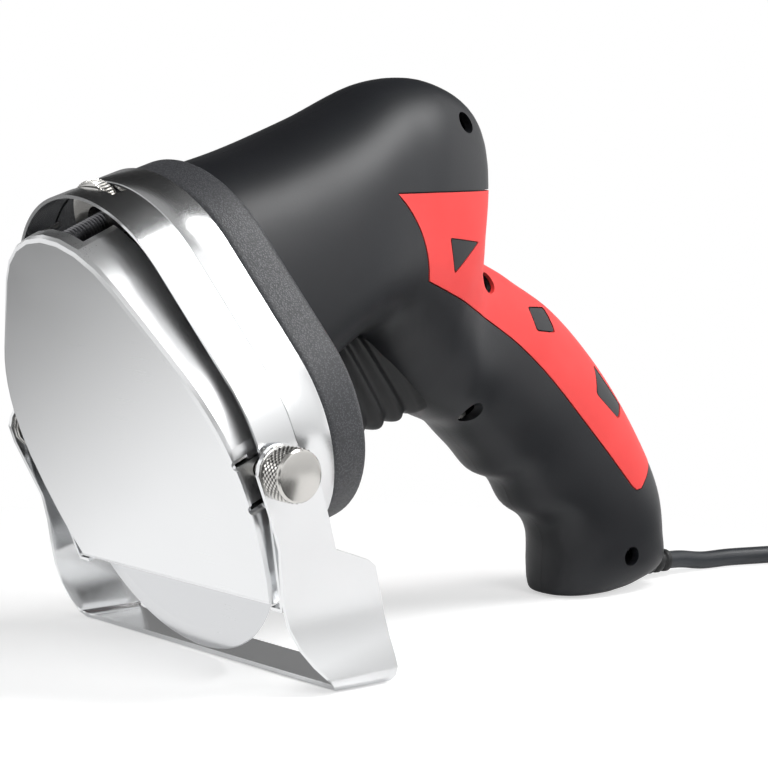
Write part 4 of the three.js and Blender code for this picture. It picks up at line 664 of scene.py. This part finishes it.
# %% Panel outline
curves = [((89.4, 59.2), (93.5, 52), (95.5, 42), (93.2, 31.9)),
          ((93.2, 31.9), (101, 25.5), (117, 13.5), (130, -2.5)),
          ((130, -2.5), (141, -17), (153, -40), (163.5, -63.1))]
panel_outline = []
for curve in curves:
    points = interpolate_bezier(*(Vector(point).to_3d() for point in curve), 20)
    panel_outline += [(p.x, p.y) for p in points[:-1]]
panel_top = (82.3 - 160 * math.sin(PITCH)) / math.cos(PITCH)
panel_outline += [(163.5, -63.1), (164.9, -64.9), (167.2, -65.3), (215, -43), (215, 20), (160, panel_top)]
islands = [[(105.2, 40.4), (117.1, 35), (104.3, 30.4)],
           [(140.3, 5.4), (148.6, 1.9), (147.8, -5.2), (139.9, -1.5)],
           [(159.1, -30.2), (163.5, -22.8), (170.5, -38.5), (166, -41)]]
screw_places = [(128.5, 67.8), (125.7, 18.7), (108.9, -16.5), (157.2, -84.9)]
print("panel outline points:", len(panel_outline))

# %% Housing halves and red panels
SEAM = 0.04
PANEL_DEPTH = 1.3
PANEL_PROUD = 0.12
HAIRLINE = 0.3
GROOVE = 0.4
SCREW_HOLE = 3.1
relief_b, relief_v = in_machine(RELIEF_BASE.y, RELIEF_BASE.z)
relief_along = Vector((0, *in_machine(RELIEF_AXIS.y, RELIEF_AXIS.z)))
relief_from = Vector((0, relief_b, relief_v))


def half_of(bm, side):
    geometry = [*bm.verts, *bm.edges, *bm.faces]
    cut = bmesh.ops.bisect_plane(bm, geom=geometry, plane_co=(side * SEAM, 0, 0), plane_no=(side, 0, 0),
                                 clear_inner=True)
    edges = [e for e in cut["geom_cut"] if isinstance(e, bmesh.types.BMEdge)]
    bmesh.ops.holes_fill(bm, edges=edges, sides=0)
    return bm


region = prism("region", panel_outline, -60, 60)
wide_islands = [prism("island", spread(points, HAIRLINE), -61, 61, 1.0) for points in islands]
true_islands = [prism("island", points, -61, 61, 1.0) for points in islands]
recess = prism("recess", widen(panel_outline, GROOVE), -60, 60)
for tool in true_islands:
    carve(recess, tool)
panel_floor = as_object("panel_floor", housing_form(PANEL_DEPTH + HAIRLINE), IDENTITY)
carve(recess, panel_floor)
panel_back = as_object("panel_back", housing_form(PANEL_DEPTH), IDENTITY)
hollow = as_object("hollow", housing_form(2.8, last=15, count=48, per_span=4, lead_in=8), IDENTITY)
mouth = prism("mouth", [(72, 17.5), (80.5, 26), (98, -4), (93, -9.5), (82, -12), (70, 2)], -8.2, 8.2)
relief_hole = pin("relief_hole", 4.8, relief_from - relief_along * 6, relief_from + relief_along * 40)
halves, panels = {}, {}
for word, side in (("right", 1), ("left", -1)):
    shell = as_object("housing_half_" + word, half_of(housing_form(0, waves=True), side), IDENTITY)
    panel = as_object("red_panel_" + word, half_of(housing_form(-PANEL_PROUD), side), IDENTITY)
    for tool in (hollow, recess, mouth, relief_hole):
        carve(shell, tool)
    carve(panel, region, "INTERSECT")
    for tool in (panel_back, *wide_islands):
        carve(panel, tool)
    if side > 0:
        for b, v in screw_places:
            hole = pin("screw_hole", SCREW_HOLE, (8, b, v), (60, b, v))
            carve(shell, hole)
            carve(panel, hole)
            scrap(hole)
    for piece, node, slot, material in ((shell, "housing_", "charcoal_plastic", charcoal_abs),
                                        (panel, "grip_", "red_rubber", red_rubber)):
        piece.data.transform(MACHINE)
        settle(piece, "frame", [node + word], material, 34)
    halves[word], panels[word] = shell, panel
scrap(region, recess, panel_floor, panel_back, hollow, mouth, relief_hole, *wide_islands, *true_islands)
print("housing faces:", len(halves["right"].data.polygons), "panel faces:", len(panels["right"].data.polygons))

# %% [markdown]
# ## The gear head's outline
# The gear head is an egg with a flat base: two round corners, a dome and straight flanks that touch both. An arc is
# one vertex spun about the arc's centre. The same outline, drawn larger or smaller, gives the painted ring, the
# steel ring in front of it and the guard sleeve.
# %% Outline of the head
DOME = (0, 45, 40.5)
CORNER = (22, 17, 36.5)
rise, across = DOME[1] - CORNER[1], -CORNER[0]
flank = math.degrees(math.atan2(rise, across) - math.acos((CORNER[2] - DOME[2]) / math.hypot(across, rise)))


def arc(bm, vert, centre, degrees, steps):
    made = bmesh.ops.spin(bm, geom=[vert], cent=(centre[0], vert.co.y, centre[1]), axis=(0, 1, 0),
                          angle=-math.radians(degrees), steps=steps, use_merge=False)
    return verts_of(made, "geom_last")[0]


def straight(bm, vert, x, z):
    end = bm.verts.new((x, vert.co.y, z))
    bm.edges.new((vert, end))
    return end


def round_the_top(bm, vert, grow, low):
    """From a point on the right corner, over the dome and down the left corner."""
    dome = DOME[2] + grow
    out, up = math.cos(math.radians(flank)), math.sin(math.radians(flank))
    vert = arc(bm, vert, CORNER[:2], flank - low, 30)
    vert = straight(bm, vert, dome * out, DOME[1] + dome * up)
    vert = arc(bm, vert, DOME[:2], 180 - 2 * flank, 56)
    vert = straight(bm, vert, -CORNER[0] - (CORNER[2] + grow) * out, CORNER[1] + (CORNER[2] + grow) * up)
    return arc(bm, vert, (-CORNER[0], CORNER[1]), flank - low, 30)


def head_loop(bm, grow, y):
    before = set(bm.edges)
    first = bm.verts.new((CORNER[0], y, CORNER[1] - CORNER[2] - grow))
    last = round_the_top(bm, first, grow, -90)
    bm.edges.new((last, first))
    return [e for e in bm.edges if e not in before]


print("flank angle:", round(flank, 2))

# %% Painted gear head
HEAD_FRONT = 27
HEAD_DEPTH = 13
HEAD_ROUND = 2.4
HEAD_WALL = 1.4
POCKET_DEPTH = 22
head = bmesh.new()
ring_face = bmesh.ops.contextual_create(head, geom=head_loop(head, 0, HEAD_FRONT))["faces"]
draw_back(head, ring_face, HEAD_DEPTH)
bevel_edges(head, [e for e in head.edges if abs(e.verts[0].co.y - e.verts[1].co.y) < 1e-6], HEAD_ROUND, 6)
head.faces.ensure_lookup_table()
back_face = max(head.faces, key=lambda f: f.calc_center_median().y + 0.0001 * f.calc_area())
bmesh.ops.inset_region(head, faces=[back_face], thickness=HEAD_WALL, use_even_offset=True)
draw_back(head, [back_face], -POCKET_DEPTH)
spigot = bmesh.ops.contextual_create(head, geom=head_loop(head, -0.3, 14.5))["faces"]
draw_back(head, spigot, 3.5)
hub = [(0, 9.6), (12.8, 9.6), (12.8, 14.6), (0, 14.6)]
turn(head, hub, (0, 0, 0), (0, 1, 0), 40)
gear_head = as_object("gear_head", head, MACHINE)
settle(gear_head, "frame", ["gear_housing"], gear_paint, 34)
print("gear head faces:", len(gear_head.data.polygons))

# %% Steel ring
BAND_SHEET = 1.2
BAND_FRONT = 15.75
BAND_DEPTH = 10.95
band = bmesh.new()
edges = head_loop(band, BAND_SHEET, BAND_FRONT) + head_loop(band, 0, BAND_FRONT)
rim = bmesh.ops.bridge_loops(band, edges=edges)["faces"]
draw_back(band, rim, BAND_DEPTH)
corners = [e for e in band.edges if len(e.link_faces) == 2 and e.calc_face_angle() > math.radians(40)]
bevel_edges(band, corners, 0.12, 2)
ring = as_object("steel_band", band, MACHINE)
settle(ring, "frame", ["steel_ring"], polished_steel, 40)
print("band faces:", len(ring.data.polygons))

# %% [markdown]
# ## The guard sleeve
# A strip of sheet goes round the blade behind the guard plate. Its ends come down straight and turn in under the
# blade. The outer and the inner line are bridged into the strip's edge, which is then drawn back.
# %% Guard sleeve
TAPER = 12.5
SLEEVE_LOW = -29
SLEEVE_FRONT = 4
SLEEVE_DEPTH = 11.7
SLEEVE_SHEET = 1
SLEEVE_TAB = 5


def sleeve_line(bm, grow, low, tab):
    before = set(bm.edges)
    corner = CORNER[2] + grow
    start_x = CORNER[0] + corner * math.cos(math.radians(TAPER))
    start_z = CORNER[1] - corner * math.sin(math.radians(TAPER))
    end_x = start_x - (start_z - low) * math.tan(math.radians(TAPER))
    first = bm.verts.new((end_x - tab, SLEEVE_FRONT, low))
    last = straight(bm, first, end_x, low)
    last = straight(bm, last, start_x, start_z)
    last = round_the_top(bm, last, grow, -TAPER)
    last = straight(bm, last, -end_x, low)
    straight(bm, last, -end_x + tab, low)
    return [e for e in bm.edges if e not in before]


strip = bmesh.new()
edges = sleeve_line(strip, SLEEVE_SHEET, SLEEVE_LOW, SLEEVE_TAB)
edges += sleeve_line(strip, 0, SLEEVE_LOW + SLEEVE_SHEET, SLEEVE_TAB - SLEEVE_SHEET)
rim = bmesh.ops.bridge_loops(strip, edges=edges)["faces"]
draw_back(strip, rim, SLEEVE_DEPTH)
sleeve = as_object("guard_strip", strip, IDENTITY)
slot_cutter = block("slot_cutter", (24, 4.3, 40), (0, 12.55, 96))
carve(sleeve, slot_cutter)
scrap(slot_cutter)
sleeve.data.transform(MACHINE)
settle(sleeve, "frame", ["guard_sleeve"], polished_steel, 40)
print("sleeve faces:", len(sleeve.data.polygons))

# %% [markdown]
# ## The blade
# The blade is a thin disc with a long bevel on its front, ground to an edge. A spin of its profile makes it.
# %% Blade and nut
disc = bmesh.new()
blade_profile = [(4.3, 6.3), (4.3, 7.8), (46, 7.8), (49.6, 7.75), (50, 7.6), (49.7, 7.4), (43, 6.3), (30, 6.3),
                 (4.3, 6.3)]
turn(disc, blade_profile, (0, 0, 0), (0, 1, 0), 128)
round_blade = as_object("round_blade", disc, MACHINE)
settle(round_blade, "blade_set", ["blade"], blade_steel, 5)
dress("blade_nut", "centre_nut", plated_steel, 0.5)
print("blade faces:", len(round_blade.data.polygons))

# %% [markdown]
# ## Knurled knob and thumbwheel
# Fingers turn both, so both are knurled. The knob's band has a diamond knurl: where two slanting sets of grooves
# cross, every other point of a fine grid stands proud. The wheel has straight grooves.
# %% Knob
PIVOT = (7.5, 11.7)
KNOB_RADIUS = 7.15
KNURL_FROM = 63.15
KNURL_LENGTH = 5.4
KNURL_DEPTH = 0.5
KNURL_ROWS = 8
KNURL_COUNT = 56
row_step = KNURL_LENGTH / (KNURL_ROWS - 1)
knob_profile = [(0, 51.5), (2.5, 51.5), (2.5, 62.6), (6.6, 62.6), (KNOB_RADIUS, 62.9)]
knob_profile += [(KNOB_RADIUS, KNURL_FROM + row_step * i) for i in range(KNURL_ROWS)]
knob_profile += [(7.1, 68.75), (7.0, 69.3), (6.6, 69.75), (6.1, 69.9), (0, 69.9)]
knob = bmesh.new()
turn(knob, knob_profile, (0, *PIVOT), (1, 0, 0), KNURL_COUNT)
# Each point's mark says whether it lies in a groove: it sets the knurl's depth and where painted shade goes.
groove_shade = knob.verts.layers.float.new("groove_shade")
for vert in knob.verts:
    y, z = vert.co.y - PIVOT[0], vert.co.z - PIVOT[1]
    row = (vert.co.x - KNURL_FROM) / row_step
    if -0.1 < row < KNURL_ROWS - 0.9:
        step = round(math.atan2(z, y) / math.tau * KNURL_COUNT)
        vert[groove_shade] = (step + round(row)) % 2
        grow = 1 + KNURL_DEPTH * (0.5 - vert[groove_shade]) / KNOB_RADIUS
        vert.co.y, vert.co.z = PIVOT[0] + y * grow, PIVOT[1] + z * grow
first_row, last_row = KNURL_FROM - 0.05, KNURL_FROM + KNURL_LENGTH + 0.05
knurled = [f for f in knob.faces if all(first_row < v.co.x < last_row for v in f.verts)]
# The poked middles get half the painted groove shade.
for vert in bmesh.ops.poke(knob, faces=knurled)["verts"]:
    vert[groove_shade] = 0.5
clamp_knob = as_object("clamp_knob", knob, MACHINE)
settle(clamp_knob, "knob", ["knob"], knurled_steel, 30)
print("knob faces:", len(clamp_knob.data.polygons))

# %% Thumbwheel
WHEEL_HEIGHT = 76
WHEEL_STEPS = 180
STEPS_PER_GROOVE = 3
WHEEL_GROOVE = 0.8
wheel = bmesh.new()
turn(wheel, [(4.9, 11.0), (11.5, 11.0), (12, 11.35), (12, 13.85), (11.5, 14.2), (4.9, 14.2), (4.9, 11.0)],
     (0, 0, WHEEL_HEIGHT), (0, 1, 0), WHEEL_STEPS)
# Points in a groove are marked, and the material paints shade into them.
groove_shade = wheel.verts.layers.float.new("groove_shade")
for vert in wheel.verts:
    out = Vector((vert.co.x, 0, vert.co.z - WHEEL_HEIGHT))
    step = round(math.atan2(out.z, out.x) / math.tau * WHEEL_STEPS)
    if out.length > 11.8 and step % STEPS_PER_GROOVE == 0:
        vert.co -= out.normalized() * WHEEL_GROOVE
        vert[groove_shade] = 1
knurled_wheel = as_object("knurled_wheel", wheel, MACHINE)
settle(knurled_wheel, "wheel", ["thumbwheel"], knurled_steel, 25)
rod_low, rod_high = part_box("adjust_rod")
print("rod from", rod_low, "to", rod_high)

# %% [markdown]
# ## The threaded rod
# The rod that the wheel moves has an M6 thread. At this size a stack of small ridges, 1 mm apart, looks the same as
# the true spiral, and it spins in one go.
# %% Threaded rod
back_to_guard = GUARD.inverted()
rod_corners = [back_to_guard @ v.co for v in frame["nodes"]["adjust_rod"].data.vertices]
rod_start = min(c.y for c in rod_corners)
rod_end = max(c.y for c in rod_corners)
rod_middle = (min(c.z for c in rod_corners) + max(c.z for c in rod_corners)) / 2
THREAD_RADIUS = 2.95
THREAD_ROOT = 2.45
THREAD_PITCH = 1
thread = [(0, rod_start), (THREAD_RADIUS, rod_start), (THREAD_RADIUS, rod_start + 1.5)]
along = rod_start + 1.5
while along + THREAD_PITCH < rod_end - 0.8:
    thread += [(THREAD_ROOT, along + 0.35), (THREAD_ROOT, along + 0.5), (THREAD_RADIUS, along + 0.85),
               (THREAD_RADIUS, along + THREAD_PITCH)]
    along += THREAD_PITCH
thread += [(THREAD_RADIUS, rod_end - 0.6), (2.4, rod_end), (0, rod_end)]
rod = bmesh.new()
turn(rod, thread, (0, 0, rod_middle), (0, 1, 0), 36)
threaded_rod = as_object("threaded_rod", rod, GUARD)
settle(threaded_rod, "guard", ["adjust_rod"], oiled_steel, 25)
print("rod length:", round(rod_end - rod_start, 1), "mm")

# %% [markdown]
# ## Pivot washers and the low screw
# On the left the stand turns on a low pan-head screw with a cross slot, on the right on the knob's own stud.
# %% Washers and pivot screw
for word in ("right", "left"):
    dress("pivot_washer_" + word, "washer_" + word, plated_steel, 0.15)
pivot = bmesh.new()
turn(pivot, [(0, -51.5), (2.5, -51.5), (2.5, -62.6), (5.0, -62.6), (5.2, -62.8), (5.15, -63.2), (4.7, -63.8),
             (3.8, -64.2), (2.6, -64.35), (0, -64.4)], (0, *PIVOT), (1, 0, 0), 48)
left_screw = as_object("left_pivot_screw", pivot, IDENTITY)
for tall, deep in ((4.6, 1.0), (1.0, 4.6)):
    cutter = block("cross_slot", (1.8, deep, tall), (-64.4, *PIVOT))
    carve(left_screw, cutter)
    scrap(cutter)
left_screw.data.transform(MACHINE)
settle(left_screw, "frame", ["pivot_screw"], plated_steel, 30)
print("pivot screw faces:", len(left_screw.data.polygons))

# %% [markdown]
# ## The bellows boot
# A pleated rubber boot closes the gap between the trigger and the housing, so that no grease gets in. Rings of a
# rounded oblong shrink and grow in turn, and fan out from the top where the trigger hinges.
# %% Trigger boot
BOOT_SQUARENESS = 4


def boot_ring(ring, share, grow):
    top = Vector((0, 80 - 15 * share, 25 - 1.5 * share))
    low = Vector((0, 95 - 23.5 * share, -12.5 + share))
    middle = (top + low) / 2
    reach = (top - middle) * (1 + grow / (top - middle).length)
    half = 13 - 1.5 * share + grow
    for j, vert in enumerate(ring):
        angle = math.tau * j / len(ring)
        vert.co = middle + reach * bulge(math.sin(angle), BOOT_SQUARENESS)
        vert.co.x = half * bulge(math.cos(angle), BOOT_SQUARENESS)


BOOT_RINGS = 60
PLEATS = 3
PLEAT_DEPTH = 1.5
PLEATS_TO = 0.94
bellows = bmesh.new()
before = None
for i in range(BOOT_RINGS + 1):
    share = -0.35 + 1.35 * i / BOOT_RINGS
    if share < PLEATS_TO:
        pleat = math.sin(PLEATS * math.pi * share / PLEATS_TO) ** 2 if share > 0 else 0
    else:
        pleat = (share - PLEATS_TO) / (1 - PLEATS_TO)
    ring_verts, edges = new_ring(bellows, 72)
    boot_ring(ring_verts, share, -PLEAT_DEPTH * pleat)
    if before:
        bmesh.ops.bridge_loops(bellows, edges=before + edges)
    before = edges
front = bmesh.ops.contextual_create(bellows, geom=before)["faces"]
bmesh.ops.inset_region(bellows, faces=front, thickness=2.2, depth=0.5, use_even_offset=True)
boot = as_object("bellows_boot", bellows, MACHINE)
settle(boot, None, ["trigger_boot"], boot_rubber, 60)
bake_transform(boot)
coil_spring = dress("trigger_spring", "coil_spring", machined_steel, 0, 40, rides=False)
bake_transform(coil_spring)
dress("trigger", "finger_lever", charcoal_abs, 0.8, 30, 3)
print("boot faces:", len(boot.data.polygons))

# %% [markdown]
# ## Screws and the works inside
# The housing screws sit deep in their holes. The motor, gears and switch are hidden, but the model can be opened,
# so they carry their own finishes: machined steel, enamelled copper, phenolic, carbon.
# %% Finishes for the hidden works
for number in range(1, 5):
    dress(f"housing_screw_{number}", f"housing_bolt_{number}", plated_steel, 0.3)
    dress(f"cover_screw_{number}", f"cover_bolt_{number}", plated_steel, 0.3)
finishes = {
    machined_steel: ["blade_spindle", "spindle_bearing_front", "spindle_bearing_rear", "spindle_gear", "idler_gear",
                     "idler_pin", "stator", "armature", "motor_shaft", "motor_bearing_front", "motor_bearing_rear",
                     "trigger_pin"],
    winding_copper: ["field_coil_right", "field_coil_left", "commutator"],
    gear_paint: ["gear_cover"],
    charcoal_abs: ["fan"],
    phenolic: ["switch_body", "brush_holder_right", "brush_holder_left"],
    carbon: ["brush_right", "brush_left"],
    lead_sheath: ["inner_lead"],
}
for material, names in finishes.items():
    for name in names:
        mesh = frame["nodes"][name].data
        mesh.materials.clear()
        mesh.materials.append(material)
print("finished CAD nodes:", sum(len(names) for names in finishes.values()))

# %% [markdown]
# ## Floor
# The photograph is a product picture on white. A pale floor keeps the soft contact shadow. To the camera and in
# reflections it has a little light of its own, and further out it turns into plain white light, so that no horizon
# shows.
# %% Floor
CAMERA_LIFT = 0.4
MIRROR_LIFT = 0.08
SHADOW_ENDS = (0.08, 0.26)
MIRROR_WHITE = (0.12, 0.5)
floor_mesh = bmesh.new()
bmesh.ops.create_grid(floor_mesh, x_segments=4, y_segments=4, size=6)
floor = as_object("floor", floor_mesh, Matrix.Translation((0, 0, -0.0002)))
floor_material, tree, shader, place = start_finish(
    "white studio floor", Base_Color=colour("#f2f2f2"), Roughness=0.9, Specular_IOR_Level=0.1, Emission_Color=WHITE)
away = add(tree, "ShaderNodeVectorMath", {0: place}, operation="LENGTH").outputs["Value"]
rays = add(tree, "ShaderNodeLightPath").outputs
mirrored = maths(tree, "MULTIPLY", rays["Is Glossy Ray"], MIRROR_LIFT)
feed(tree, shader, Emission_Strength=maths(tree, "MULTIPLY_ADD", rays["Is Camera Ray"], CAMERA_LIFT, mirrored))
seen_white = maths(tree, "MULTIPLY", remap(tree, away, *SHADOW_ENDS), rays["Is Camera Ray"])
white = maths(tree, "MULTIPLY_ADD", remap(tree, away, *MIRROR_WHITE), rays["Is Glossy Ray"], seen_white)
glow = add(tree, "ShaderNodeEmission", {"Color": WHITE, "Strength": 1.0}).outputs["Emission"]
both = add(tree, "ShaderNodeMixShader", {"Fac": white, 1: shader.outputs["BSDF"], 2: glow})
tree.links.new(both.outputs["Shader"], tree.nodes["Material Output"].inputs["Surface"])
floor.data.materials.append(floor_material)
print("floor:", floor.name)

# %% [markdown]
# ## Light
# A white world and three soft boxes light the slicer, the strongest from above and from the right. Polished steel
# shows what stands round it, so a photographer sets up cards. A card on the floor at the left runs from white to
# grey and gives the plate its soft gradient. Dark ones behind and above give the tops of the rings a dark edge. The
# ones at the right and round the camera shape the sheen of the stand, the knob and the grip. Only reflections see
# the cards.
# %% World and lamps
world = bpy.data.worlds.new("studio")
scene.world = world
world.use_nodes = True
tree = world.node_tree
rays = add(tree, "ShaderNodeLightPath").outputs
seen = maths(tree, "MAXIMUM", rays["Is Camera Ray"], rays["Is Glossy Ray"])
seen = maths(tree, "MAXIMUM", seen, rays["Is Transmission Ray"])
sky = tree.nodes["Background"]
sky.inputs["Color"].default_value = WHITE
tree.links.new(remap(tree, seen, 0, 1, 0.3, 1.0), sky.inputs["Strength"])


def softbox(name, place, target, size, watts):
    data = bpy.data.lights.new(name, "AREA")
    data.shape = "RECTANGLE"
    data.size, data.size_y = size
    data.energy = watts
    lamp = in_scene(name, data)
    lamp.location = place
    lamp.rotation_euler = (Vector(target) - Vector(place)).to_track_quat("-Z", "Y").to_euler()


softbox("top box", (0.32, 0.4, 0.88), (0, 0.05, 0.06), (0.4, 0.45), 5.5)
softbox("right box", (0.95, 0.1, 0.55), (0, 0.05, 0.08), (0.5, 0.5), 4)
softbox("front box", (0.2, -1.0, 0.5), (0, 0, 0.06), (0.6, 0.4), 1)

# %% Cards for the reflections
ON_FLOOR = 0.0006


def flat(height, *corners):
    return [(x, y, height) for x, y in corners]


def upright(left, right, low, high):
    return [(*left, low), (*right, low), (*right, high), (*left, high)]


def card(name, corners, stops, along, span, strength=1.0):
    """A glowing card that only reflections see. Its grey runs through the stops along a direction."""
    bm = bmesh.new()
    bm.faces.new([bm.verts.new(corner) for corner in corners])
    thing = as_object(name, bm, IDENTITY)
    material, tree, _, place = start_finish(name)
    reach = add(tree, "ShaderNodeVectorMath", {0: place, 1: along}, operation="DOT_PRODUCT").outputs["Value"]
    greys = [(position, (value, value, value, 1)) for position, value in stops]
    tone = ramp(tree, remap(tree, reach, *span), *greys)
    glow = add(tree, "ShaderNodeEmission", {"Color": tone, "Strength": strength})
    tree.links.new(glow.outputs["Emission"], tree.nodes["Material Output"].inputs["Surface"])
    thing.data.materials.append(material)
    thing.visible_camera = thing.visible_diffuse = thing.visible_shadow = False
    return thing


cards = [
    card("left card", flat(ON_FLOOR, (0.12, -0.012), (0.12, -0.5), (-0.7, -0.5), (-0.7, 0.12), (-0.075, 0.12),
                           (-0.075, -0.012)),
         [(0.0, 1.0), (0.08, 1.0), (0.36, 0.7), (0.75, 0.285), (1.0, 0.23)], (-0.91, -0.41, 0), (0.06, 0.32), 1.02),
    card("back card", upright((-1.25, 0.0), (-0.35, 1.1), 0.3, 0.95),
         [(0.0, 0.35), (0.25, 0.04), (0.8, 0.02), (1.0, 0.02)], (0, 0, 1), (0.3, 0.95)),
    card("high card", [(-1.25, 0.0, 0.95), (-0.35, 1.1, 0.95), (0.3, 0.75, 1.25), (0.16, -0.3, 1.25)],
         [(0.0, 0.02), (0.75, 0.02), (1.0, 0.04)], (0, 0, 1), (0.95, 1.25)),
    card("edge card", flat(0.8, (0.02, 0.02), (0.19, 0.02), (0.19, 0.7), (0.02, 0.7)),
         [(0.0, 0.03), (0.85, 0.03), (1.0, 0.1)], (1, 0, 0), (0.02, 0.19)),
    card("front card", flat(1.0, (-1.2, -1.0), (0.75, -1.0), (0.75, 0.1), (0.1, 0.1), (-1.2, -0.05)),
         [(0.0, 0.32), (1.0, 0.32)], (0, 1, 0), (-1.0, 0.1)),
    card("grip floor", flat(ON_FLOOR, (0.05, 0.09), (0.47, 0.44), (0.25, 0.8), (0.03, 0.8), (0.03, 0.17)),
         [(0.0, 0.12), (0.35, 0.25), (0.7, 0.9), (1.0, 1.0)], (0, 1, 0), (0.1, 0.8)),
    card("near floor", flat(ON_FLOOR, (0.125, -0.5), (0.6, -0.5), (0.6, -0.02), (0.36, 0.17), (0.125, 0.0)),
         [(0.0, 0.12), (1.0, 0.12)], (0, 1, 0), (-0.5, 0.1)),
    card("low card", upright((-0.98, 0.33), (-0.638, 0.748), 0.01, 0.3),
         [(0.0, 0.13), (0.6, 0.15), (1.0, 0.35)], (0, 0, 1), (0.0, 0.3)),
    card("camera card", upright((1.3, -0.45), (0.55, -1.25), 0.02, 0.62),
         [(0.0, 0.45), (0.25, 0.12), (0.8, 0.12), (1.0, 0.6)], (0, 0, 1), (0.02, 0.62)),
    card("right card", upright((0.62, 0.02), (0.386, 0.348), ON_FLOOR, 0.3),
         [(0.0, 0.58), (0.3, 0.78), (0.8, 1.0), (1.0, 1.0)], (0, 0, 1), (0.0, 0.3)),
    card("grip card", upright((0.38, 0.356), (0.1, 0.75), ON_FLOOR, 0.4),
         [(0.0, 0.3), (0.5, 0.8), (1.0, 1.0)], (0, 1, 0), (0.356, 0.75), 2.0),
]
print("cards:", len(cards))
